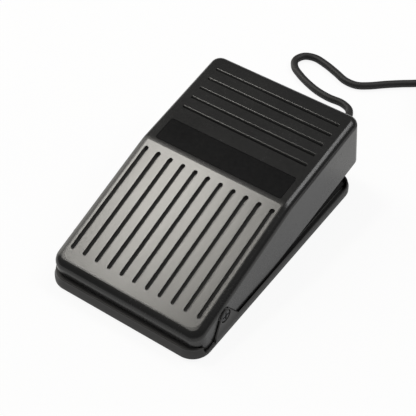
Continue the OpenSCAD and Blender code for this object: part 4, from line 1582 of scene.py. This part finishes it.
@dataclass
class Underside:
    """Rubber feet, bumper pads and return springs."""

    lay: Layout
    foot_r: float = 4.5
    foot_h: float = 1.5
    foot_edge: Profile = ((0.0, 1.4), (0.05, 1.0), (0.05, 0.5), (0.25, 0.1), (0.4, 0.0))
    pad: Profile = ((0.0, 1.25), (0.0, 3.7), (0.25, 4.0), (1.6, 4.0), (1.95, 3.8), (2.1, 3.4), (2.1, 1.5),
                    (1.9, 1.25), (0.0, 1.25))
    spring_r: float = 4.2
    wire_r: float = 0.5
    wire_sides: int = 12
    spring_h: float = 13.2
    turns: int = 6
    turn_steps: int = 28
    pressed: float = 0.55

    def build(self) -> None:
        """Builds the feet, the pads and the springs."""
        lay, r, h = self.lay, self.foot_r, self.foot_h
        foot = [(0.0, 0.0), *((z, r - less) for z, less in self.foot_edge), (h, r), (h, 0.0)]
        stops = [(side * lay.stop_x, lay.stop_y) for side in SIDES]
        for name, node, profile, places, z in (("desk_feet", "rubber_feet", foot, lay.feet, 0.0),
                                               ("stop_pads", "bumper_pads", self.pad, stops, lay.floor_z)):
            shape = Shape()
            for x, y in places:
                shape.turned(profile, (x, y, z), (0, 0, 1))
            piece = Bench.settle(shape.made(name))
            Bench.place(piece, Body.BASE, "foot_rubber", FOOT_RUBBER, [node])
        self._springs()

    def _springs(self) -> None:
        """Winds the two return springs."""
        lay = self.lay
        steps = self.turn_steps * self.turns
        rise = (self.spring_h - 2 * self.wire_r) / steps
        upright = Matrix.Rotation(math.pi / 2, 4, "X")
        shape = Shape()
        for side in SIDES:
            x, y = side * lay.spring_x, lay.spring_y
            start = Matrix.Translation((x + self.spring_r, y, lay.floor_z + self.wire_r)) @ upright
            ring = bmesh.ops.create_circle(
                shape.bm, cap_ends=True, radius=self.wire_r, segments=self.wire_sides, matrix=start
            )["verts"]
            bmesh.ops.spin(
                shape.bm, geom=list(dict.fromkeys(f for v in ring for f in v.link_faces)), cent=(x, y, 0),
                axis=(0, 0, 1), dvec=(0, 0, rise), angle=math.tau * self.turns, steps=steps, use_merge=False,
                use_normal_flip=False, use_duplicate=False,
            )
        piece = Bench.settle(shape.made("wound_springs"), smooth=60)
        Bench.place(piece, Body.BASE, "spring_steel", SPRING_STEEL, ["return_springs"])
        foot = (0.0, lay.spring_y * MM, lay.floor_z * MM)
        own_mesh(piece)


@dataclass
class Plug:
    """USB plug at the cord's end: moulded grip and neck, folded steel shell, tongue and contacts.

    Lengths run forward from the grip's heel, which the neck stands on.
    """

    back: Vector
    neck_l: float = 8.0
    neck_root: Profile = ((-2.0, 0.0), (-2.0, 2.9), (0.2, 2.9))
    neck_end: Profile = ((0.3, 2.0), (0.0, 1.7), (0.0, 0.0))
    neck_ribs: int = 3
    neck_from: float = 1.0
    neck_pitch: float = 2.2
    neck_rib: Sequence[Point] = ((0.0, 3.2, 0.35), (1.2, 3.1, 0.35), (1.4, 2.65, 0.3), (1.9, 2.6, 0.3))
    neck_steps: int = 40
    grip_w: float = 15.6
    grip_h: float = 7.8
    grip_l: float = 24.0
    grip_r: float = 2.0
    heel_r: float = 1.6
    rib_count: int = 4
    rib_from: float = 6.0
    rib_pitch: float = 3.0
    rib_w: float = 1.2
    rib_h: float = 4.0
    rib_d: float = 0.4
    shell_w: float = 12.0
    shell_h: float = 4.5
    shell_t: float = 0.3
    shell_r: float = 0.5
    shell_bore_r: float = 0.25
    shell_back: float = 0.5
    seat_room: float = 0.02
    shell_from: float = 20.0
    shell_end: float = 36.0
    window_x: float = 2.9
    window_w: float = 2.2
    window_in: float = 4.4
    tongue_w: float = 11.3
    tongue_low: float = -1.93
    tongue_top: float = -0.05
    tongue_in: float = 1.2
    strip_count: int = 4
    strip_pitch: float = 2.3
    strip_w: float = 1.0
    strip_t: float = 0.2
    strip_in: float = 1.7
    strip_from: float = 21.0
    grip_soft: float = 0.15
    shell_soft: float = 0.06
    tongue_soft: float = 0.12
    strip_soft: float = 0.05

    def bar(self, width: float, start: float, end: float, low: float, high: float, x: float = 0.0,
            shape: Shape | None = None) -> Shape:
        """Makes a bar along the plug.

        Args:
            width: Its width.
            start: Where it starts, forward of the heel.
            end: Where it ends, forward of the heel.
            low: Its lower side, from the plug's axis.
            high: Its upper side, from the plug's axis.
            x: How far it lies beside the axis.
            shape: The shape to add it to, or none for a new one.

        Returns:
            The shape with the bar.
        """
        shape = shape or Shape()
        heel = self.back.y - self.neck_l
        across, z = self.back.x + x, self.back.z
        shape.box((across - width / 2, heel - end, z + low), (across + width / 2, heel - start, z + high))
        return shape

    def build(self) -> list[bpy.types.Object]:
        """Builds the plug.

        Returns:
            Its pieces.
        """
        return [self._grip(), self._shell(), self._tongue(), self._strips()]

    def _grip(self) -> bpy.types.Object:
        """Makes the moulded grip with its ribs, neck and seat for the shell.

        Returns:
            The piece.
        """
        heel = self.back.y - self.neck_l
        grip = self.bar(self.grip_w, 0.0, self.grip_l, -self.grip_h / 2, self.grip_h / 2)
        grip.round_where(along_y, self.grip_r, 6)
        grip.round_where(lambda a, b: min(a.y, b.y) > heel - NEAR, self.heel_r, 5)
        piece = grip.made("plug_moulding")
        ribs = Shape()
        for side in SIDES:
            for i in range(self.rib_count):
                start = self.rib_from + i * self.rib_pitch
                self.bar(2 * self.rib_d, start - self.rib_w, start, -self.rib_h / 2, self.rib_h / 2,
                         side * self.grip_w / 2, ribs)
        Bench.cut(piece, ribs.made("grip_ribs"))
        profile = [*self.neck_root]
        for i in range(self.neck_ribs):
            start = self.neck_from + i * self.neck_pitch
            profile += [(start + y, r - i * less) for y, r, less in self.neck_rib]
        profile += [(self.neck_l - before, r) for before, r in self.neck_end]
        neck = Shape()
        neck.turned(profile, (self.back.x, heel, self.back.z), (0, 1, 0), self.neck_steps)
        Bench.add(piece, neck.made("plug_neck"))
        room = self.seat_room
        seat = self.bar(self.shell_w + 2 * room, self.shell_from, self.grip_l + PAST,
                        -self.shell_h / 2 - room, self.shell_h / 2 + room)
        Bench.cut(piece, seat.made("shell_seat"))
        Bench.settle(piece, self.grip_soft)
        return Bench.place(piece, Body.BASE, "soft_moulding", MOULDING, ["plug_grip"])

    def _shell(self) -> bpy.types.Object:
        """Makes the folded steel shell with its latch windows.

        Returns:
            The piece.
        """
        half, wall = self.shell_h / 2, self.shell_t
        outside = self.bar(self.shell_w, self.shell_from, self.shell_end, -half, half)
        outside.round_where(along_y, self.shell_r, 4)
        piece = outside.made("plug_sleeve")
        back = self.shell_from + self.shell_back
        inside = self.bar(self.shell_w - 2 * wall, back, self.shell_end + PAST, wall - half, half - wall)
        inside.round_where(along_y, self.shell_bore_r, 3)
        Bench.cut(piece, inside.made("sleeve_bore"))
        windows = Shape()
        end = self.shell_end - self.window_in
        for side in SIDES:
            self.bar(self.window_w, end - self.window_w, end, -self.grip_h, self.grip_h, side * self.window_x,
                     windows)
        Bench.cut(piece, windows.made("sleeve_windows"))
        Bench.settle(piece, self.shell_soft)
        return Bench.place(piece, Body.BASE, "can_metal", SHELL_STEEL, ["plug_shell"])

    def _tongue(self) -> bpy.types.Object:
        """Makes the tongue that carries the contacts.

        Returns:
            The piece.
        """
        start, end = self.shell_from + self.shell_back, self.shell_end - self.tongue_in
        tongue = self.bar(self.tongue_w, start, end, self.tongue_low, self.tongue_top)
        piece = Bench.settle(tongue.made("plug_blade"), self.tongue_soft)
        return Bench.place(piece, Body.BASE, "ivory_plastic", IVORY, ["plug_tongue"])

    def _strips(self) -> bpy.types.Object:
        """Makes the flat contacts on the tongue.

        Returns:
            The piece.
        """
        strips = Shape()
        end = self.shell_end - self.strip_in
        low, high = self.tongue_top, self.tongue_top + self.strip_t
        for i in range(self.strip_count):
            x = (i - (self.strip_count - 1) / 2) * self.strip_pitch
            self.bar(self.strip_w, self.strip_from, end, low, high, x, strips)
        piece = Bench.settle(strips.made("plug_strips"), self.strip_soft)
        return Bench.place(piece, Body.BASE, "plated_pins", PLATED, ["plug_contacts"])


@dataclass
class Cord:
    """Thin USB cord: inner end, strain relief, free run, coil, tail, strap and plug."""

    lay: Layout
    relief_l: float = 12.0
    relief_r: float = 2.5
    relief_taper: float = 0.6
    relief_bore_r: float = 1.52
    relief_ribs: int = 5
    relief_pitch: float = 2.25
    relief_rib: Profile = ((0.0, 0.0), (0.9, -0.05), (1.1, -0.42), (2.0, -0.46))
    relief_from: float = 0.5
    relief_tip: Profile = ((0.4, 1.8), (0.0, 1.66))
    relief_steps: int = 40
    flange_r: float = 2.95
    flange_t: float = 1.4
    flange_soft: float = 0.15
    inner_l: float = 16.0
    inner_steps: int = 24
    inner_tip: Profile = ((0.0, 0.25), (0.2, 0.0))
    inner_gap: float = 0.1
    coil_at: tuple[float, float] = (54.0, 109.0)
    coil_start: float = 128.0
    coil_turns: float = 12.0 + 128.0 / 360.0
    coil_layers: int = 4
    coil_r: float = 21.5
    coil_pitch: float = 3.45
    coil_z: float = 2.1
    coil_steps: int = 40
    coil_climb: float = 0.5
    tie_t: float = 0.5
    tie_w: float = 5.0
    tie_room: float = 0.2
    tie_turn: float = 35.0
    tie_r: float = 1.2
    tie_hole_r: float = 0.7
    tie_soft: float = 0.1
    plug_back: float = 80.0
    plug_z: float = 4.4
    tail_steps: int = 5
    route: list[Point] = field(default_factory=lambda: [
        (-8.0, 63.0, 4.2), (-8.0, 66.0, 3.6), (-6.4, 69.4, 2.4), (-3.0, 71.4, 1.5), (1.0, 71.8, 1.5),
        (5.0, 71.5, 1.5), (9.2, 72.9, 1.5), (11.2, 77.0, 1.5), (9.4, 81.2, 1.5), (5.2, 83.0, 1.5),
        (-0.5, 82.8, 1.5), (-6.5, 83.6, 1.5), (-12.5, 85.6, 1.5), (-17.5, 88.0, 1.5), (-21.5, 90.7, 1.5),
        (-23.6, 94.6, 1.5), (-22.0, 98.6, 1.5), (-17.8, 100.2, 1.5), (-12.0, 99.2, 1.5), (-6.0, 97.2, 1.5),
        (-0.5, 95.2, 1.5), (4.4, 95.4, 1.5), (8.6, 98.0, 1.5), (13.5, 102.4, 1.5), (18.5, 106.5, 1.5),
        (23.5, 110.3, 1.5), (29.5, 115.8, 1.6),
    ])

    @property
    def exit(self) -> Vector:
        """Where the cord leaves its strain relief."""
        return Vector((self.lay.cord_x, self.lay.tray_rear + self.relief_l, self.lay.cord_z))

    @property
    def layer_turns(self) -> float:
        """Turns in one layer of the coil."""
        return self.coil_turns / self.coil_layers

    def coil_point(self, turn: float) -> Vector:
        """Returns the coil's middle line after some turns: in on one layer, out on the next.

        Args:
            turn: Turns from the coil's start.

        Returns:
            The point, in millimetres.
        """
        in_layer = turn % (2 * self.layer_turns)
        radius = self.coil_r - self.coil_pitch * min(in_layer, 2 * self.layer_turns - in_layer)
        angle = math.radians(self.coil_start - 360 * turn)
        starts = (k * self.layer_turns for k in range(1, self.coil_layers))
        layers = sum(self.eased((turn - start) / self.coil_climb + 0.5) for start in starts)
        return Vector((self.coil_at[0] + radius * math.cos(angle), self.coil_at[1] + radius * math.sin(angle),
                       self.coil_z + self.coil_pitch * layers))

    @staticmethod
    def eased(t: float) -> float:
        """Returns a step from nought to one with soft ends."""
        t = min(max(t, 0.0), 1.0)
        return t * t * (3 - 2 * t)

    def middle_line(self) -> list[Vector]:
        """Lays the free cord's middle line, from the strain relief to the plug.

        Returns:
            The line's points, in millimetres.
        """
        d = self.lay.cord_d
        start = math.radians(self.coil_start)
        inward = Vector((math.sin(start), -math.cos(start), 0))
        first = self.coil_point(0) - d * inward
        last = self.coil_point(self.coil_turns) + Vector((0, -d, 0))
        run = [self.exit, *map(Vector, self.route), first - d * inward, first, self.coil_point(0)]
        tail = [self.coil_point(self.coil_turns), last]
        for i in range(self.tail_steps + 1):
            t = i / self.tail_steps
            y = last.y - d + (self.plug_back + 2 * d - last.y) * t
            tail.append(Vector((last.x, y, last.z + (self.plug_z - last.z) * self.eased(t))))
        tail.append(Vector((last.x, self.plug_back, self.plug_z)))
        steps = round(self.coil_steps * self.coil_turns)
        coil = [self.coil_point(self.coil_turns * i / steps) for i in range(1, steps)]
        return [*self.flowing(run), *coil, *self.flowing(tail)]

    @staticmethod
    def flowing(points: Sequence[Vector], steps: int = 6) -> list[Vector]:
        """Returns a smooth line through points.

        Args:
            points: The points, in order.
            steps: Steps from one point to the next.

        Returns:
            The line's points, the given ones among them.
        """
        line: list[Vector] = []
        for i in range(len(points) - 1):
            p1, p2 = points[i], points[i + 1]
            p0 = points[i - 1] if i else p1 * 2 - p2
            p3 = points[i + 2] if i + 2 < len(points) else p2 * 2 - p1
            t1 = (p1 - p0).length ** 0.5
            t2 = t1 + (p2 - p1).length ** 0.5
            t3 = t2 + (p3 - p2).length ** 0.5
            for k in range(steps):
                t = t1 + (t2 - t1) * k / steps
                a1 = p0.lerp(p1, t / t1)
                a2 = p1.lerp(p2, (t - t1) / (t2 - t1))
                a3 = p2.lerp(p3, (t - t2) / (t3 - t2))
                b1 = a1.lerp(a2, t / t2)
                b2 = a2.lerp(a3, (t - t1) / (t3 - t1))
                line.append(b1.lerp(b2, (t - t1) / (t2 - t1)))
        return [*line, points[-1].copy()]

    def build(self) -> None:
        """Builds the cord and what is on it."""
        line = self.middle_line()
        curve = bpy.data.curves.new("usb_cord", "CURVE")
        curve.dimensions = "3D"
        curve.bevel_depth = self.lay.cord_d / 2 * MM
        curve.bevel_resolution = 4
        curve.use_fill_caps = True
        spline = curve.splines.new("POLY")
        spline.points.add(len(line) - 1)
        for point, at in zip(spline.points, line):
            point.co = (*(at * MM), 1.0)
        spline.use_smooth = True
        cord = bpy.data.objects.new("usb_cord", curve)
        bpy.context.scene.collection.objects.link(cord)
        length = sum((b - a).length for a, b in zip(line, line[1:])) * MM
        nodes = ["usb_cable_run", "usb_cable_coil", "usb_cable_tail"]
        Bench.place(cord, Body.BASE, "cord_jacket", VINYL, nodes)
        plug = Plug(Vector((self.coil_at[0] + self.coil_r, self.plug_back, self.plug_z)))
        pieces = [self._relief(), self._inner_end(), self._strap(), *plug.build()]
        tuple(self.exit * MM)
        LOG.info("cord is %.3f m long", length)

    def _relief(self) -> bpy.types.Object:
        """Makes the ribbed, tapered strain relief.

        Returns:
            The piece.
        """
        lay, end = self.lay, self.relief_l
        outer, bore, soft = self.flange_r, self.relief_bore_r, self.flange_soft
        near, far = -lay.gate_l, -lay.gate_l - self.flange_t
        profile = [(far, bore), (far, outer - soft), (far + soft, outer), (near - soft, outer),
                   (near, outer - soft), (near, self.relief_r), (0.0, self.relief_r)]
        for i in range(self.relief_ribs):
            y = self.relief_from + i * self.relief_pitch
            r = self.relief_r - self.relief_taper * y / end
            profile += [(y + along, r + out) for along, out in self.relief_rib]
        profile += [*((end - before, r) for before, r in self.relief_tip), (end, bore), (far, bore)]
        shape = Shape()
        shape.turned(profile, (lay.cord_x, lay.tray_rear, lay.cord_z), (0, 1, 0), self.relief_steps)
        piece = Bench.settle(shape.made("cord_relief"), smooth=30)
        return Bench.place(piece, Body.BASE, "soft_moulding", MOULDING, ["strain_relief"])

    def _inner_end(self) -> bpy.types.Object:
        """Makes the cord's inner end, up to where its jacket is stripped.

        Returns:
            The piece.
        """
        lay = self.lay
        r = lay.cord_d / 2
        end = self.relief_l + self.inner_l - self.inner_gap
        profile = [(0.0, 0.0), *((y, r - less) for y, less in self.inner_tip), (end, r), (end, 0.0)]
        start = (lay.cord_x, lay.tray_rear - self.inner_l, lay.cord_z)
        shape = Shape()
        shape.turned(profile, start, (0, 1, 0), self.inner_steps)
        piece = Bench.settle(shape.made("cord_inner_end"))
        return Bench.place(piece, Body.BASE, "cord_jacket", VINYL, ["cable_inner"])

    def _strap(self) -> bpy.types.Object:
        """Makes the strap that holds the coil.

        Returns:
            The piece.
        """
        half, t = self.tie_w / 2, self.tie_t
        cord_r = self.lay.cord_d / 2
        bundle_in = self.coil_r - self.coil_pitch * self.layer_turns - cord_r
        inner = math.sqrt(bundle_in ** 2 - half ** 2) - self.tie_room
        outer = self.coil_r + cord_r + self.tie_room
        top = self.coil_z + self.coil_pitch * (self.coil_layers - 1) + cord_r + self.tie_room
        band, hole = Shape(), Shape()
        band.box((inner - t, -half, 0), (outer + t, half, top + t))
        band.round_where(along_y, self.tie_r, 6)
        hole.box((inner, -half - PAST, t), (outer, half + PAST, top))
        hole.round_where(along_y, self.tie_hole_r, 6)
        strap = band.made("coil_strap")
        Bench.cut(strap, hole.made("strap_hole"))
        turn = Matrix.Translation((*self.coil_at, 0)) @ Matrix.Rotation(math.radians(self.tie_turn), 4, "Z")
        Bench.settle(strap, self.tie_soft, turn)
        return Bench.place(strap, Body.BASE, "tie_strap", STRAP, ["cable_tie"])


@dataclass
class Works:
    """The switch, board and wiring, whose solids already have their shapes and only need finishes."""

    nodes: dict[str, bpy.types.Object]
    finishes: dict[str, Finish] = field(default_factory=lambda: {
        "circuit_board": BOARD, "board_screws": SCREW_STEEL, "clamp_screws": SCREW_STEEL,
        "switch_case": BLACK_CASE, "switch_terminals": PLATED, "switch_lever": SPRING_STEEL,
        "switch_plunger": RED_PLUNGER, "controller_chip": BLACK_CASE, "crystal": SHELL_STEEL,
        "capacitors": CAN_SLEEVE, "resistors": BLACK_CASE,
        "cable_header": IVORY, "header_plug": IVORY, "header_pins": PLATED, "cable_wires": SLEEVES,
        "cable_clamp": BLACK_CASE,
    })

    def build(self) -> None:
        """Dresses the solids that stay."""
        for name, finish in self.finishes.items():
            finish.dress(self.nodes[name])
            LOG.info("%s is dressed in %s", name, finish.name)


def aimed(name: str, data: Any, at: Vector, aim: Vector) -> bpy.types.Object:
    """Puts a lamp or camera in the scene.

    Args:
        name: Its name.
        data: The lamp's or camera's data.
        at: Where it stands, in metres.
        aim: The point that it looks at.

    Returns:
        The new object.
    """
    made = bpy.data.objects.new(name, data)
    made.location = at
    made.rotation_euler = (aim - at).to_track_quat("-Z", "Y").to_euler()
    bpy.context.scene.collection.objects.link(made)
    return made


@dataclass(frozen=True)
class Softbox:
    """A rectangular studio lamp that looks at a point."""

    name: str
    at: Point
    aim: Point
    size: tuple[float, float]
    power: float
    colour: Colour = WHITE

    def build(self) -> None:
        """Hangs the lamp."""
        light = bpy.data.lights.new(self.name, "AREA")
        light.shape = "RECTANGLE"
        light.size, light.size_y = self.size
        light.energy = self.power
        light.color = self.colour
        aimed(self.name, light, Vector(self.at), Vector(self.aim))


@dataclass
class Studio:
    """Pale floor, soft lamps and the camera of the photograph."""

    eye: Point = (174.66, -249.47, 335.64)
    target: Point = (-0.86, 0.551, 10.0)
    lens: float = 110.03
    sensor: float = 36.0
    clip: tuple[float, float] = (0.01, 50.0)
    floor_half: float = 6.0
    floor_colour: Colour = (0.86, 0.86, 0.86)
    world: float = 0.35
    gloss_world: float = 0.12
    floor_seen: float = 0.9
    floor_in_gloss: float = 0.4
    lamps: tuple[Softbox, ...] = (
        Softbox("overhead", (-0.517, 0.052, 1.101), (0, -0.02, 0.02), (0.321, 0.136), 3.6, WARM),
        Softbox("left_card", (-1.06, 0.10, 0.565), (0, -0.02, 0.02), (0.576, 1.4), 7.0, WARM),
        Softbox("right_rear", (0.43, 0.475, 0.90), (0.43, 0.475, 0.0), (0.86, 0.27), 4.9),
    )

    def build_camera(self) -> None:
        """Sets the camera where the photograph was taken from."""
        data = bpy.data.cameras.new("view")
        data.sensor_width = self.sensor
        data.sensor_fit = "HORIZONTAL"
        data.lens = self.lens
        data.clip_start, data.clip_end = self.clip
        bpy.context.scene.camera = aimed("view", data, Vector(self.eye) * MM, Vector(self.target) * MM)

    def build_lights(self) -> None:
        """Hangs the lamps, lights the world and lays the floor."""
        scene = bpy.context.scene
        scene.view_settings.view_transform = "Standard"
        for lamp in self.lamps:
            lamp.build()
        scene.world = bpy.data.worlds.new("studio")
        scene.world.use_nodes = True
        web = Web(scene.world.node_tree)
        path = web.raw("ShaderNodeLightPath")
        seen, gloss = (Value(web, path.outputs[name]) for name in ("Is Camera Ray", "Is Glossy Ray"))
        strength = self.world + (1.0 - self.world) * seen + (self.gloss_world - self.world) * gloss
        back = web.raw("ShaderNodeBackground", None, {"Color": WHITE, "Strength": strength})
        web.raw("ShaderNodeOutputWorld", None, {"Surface": back.outputs[0]})
        self._floor()

    def _floor(self) -> None:
        """Lays a pale floor that keeps the shadow and looks white to the eye and paler to gloss."""
        bm = bmesh.new()
        bmesh.ops.create_grid(bm, x_segments=1, y_segments=1, size=self.floor_half)
        mesh = bpy.data.meshes.new("floor")
        bm.to_mesh(mesh)
        bm.free()
        floor = bpy.data.objects.new("floor", mesh)
        bpy.context.scene.collection.objects.link(floor)
        material = bpy.data.materials.new("floor_white")
        material.use_nodes = True
        web = Web(material.node_tree)
        path = web.raw("ShaderNodeLightPath")
        rays = ("Is Camera Ray", "Is Glossy Ray", "Is Transmission Ray")
        eye, gloss, through = (Value(web, path.outputs[name]) for name in rays)
        seen = (self.floor_seen * eye.largest(through)).largest(self.floor_in_gloss * gloss)
        paint = web.raw("ShaderNodeBsdfDiffuse", None, {"Color": self.floor_colour})
        glow = web.raw("ShaderNodeEmission", None, {"Color": WHITE, "Strength": 1.0})
        web.surface(web.raw("ShaderNodeMixShader", None, {0: seen, 1: paint.outputs[0], 2: glow.outputs[0]}))
        mesh.materials.append(material)


def main() -> None:
    """Loads the frame and builds the sub-assemblies in order."""
    logging.basicConfig(level=logging.INFO, format="%(message)s")
    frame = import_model()
    lay = Layout()
    studio = Studio()
    studio.build_camera()
    Cord(lay).build()
    Tray(lay).build()
    Cover(lay).build()
    Hinge(lay).build()
    Underside(lay).build()
    Works(frame["nodes"]).build()
    studio.build_lights()


if __name__ == "__main__":
    main()
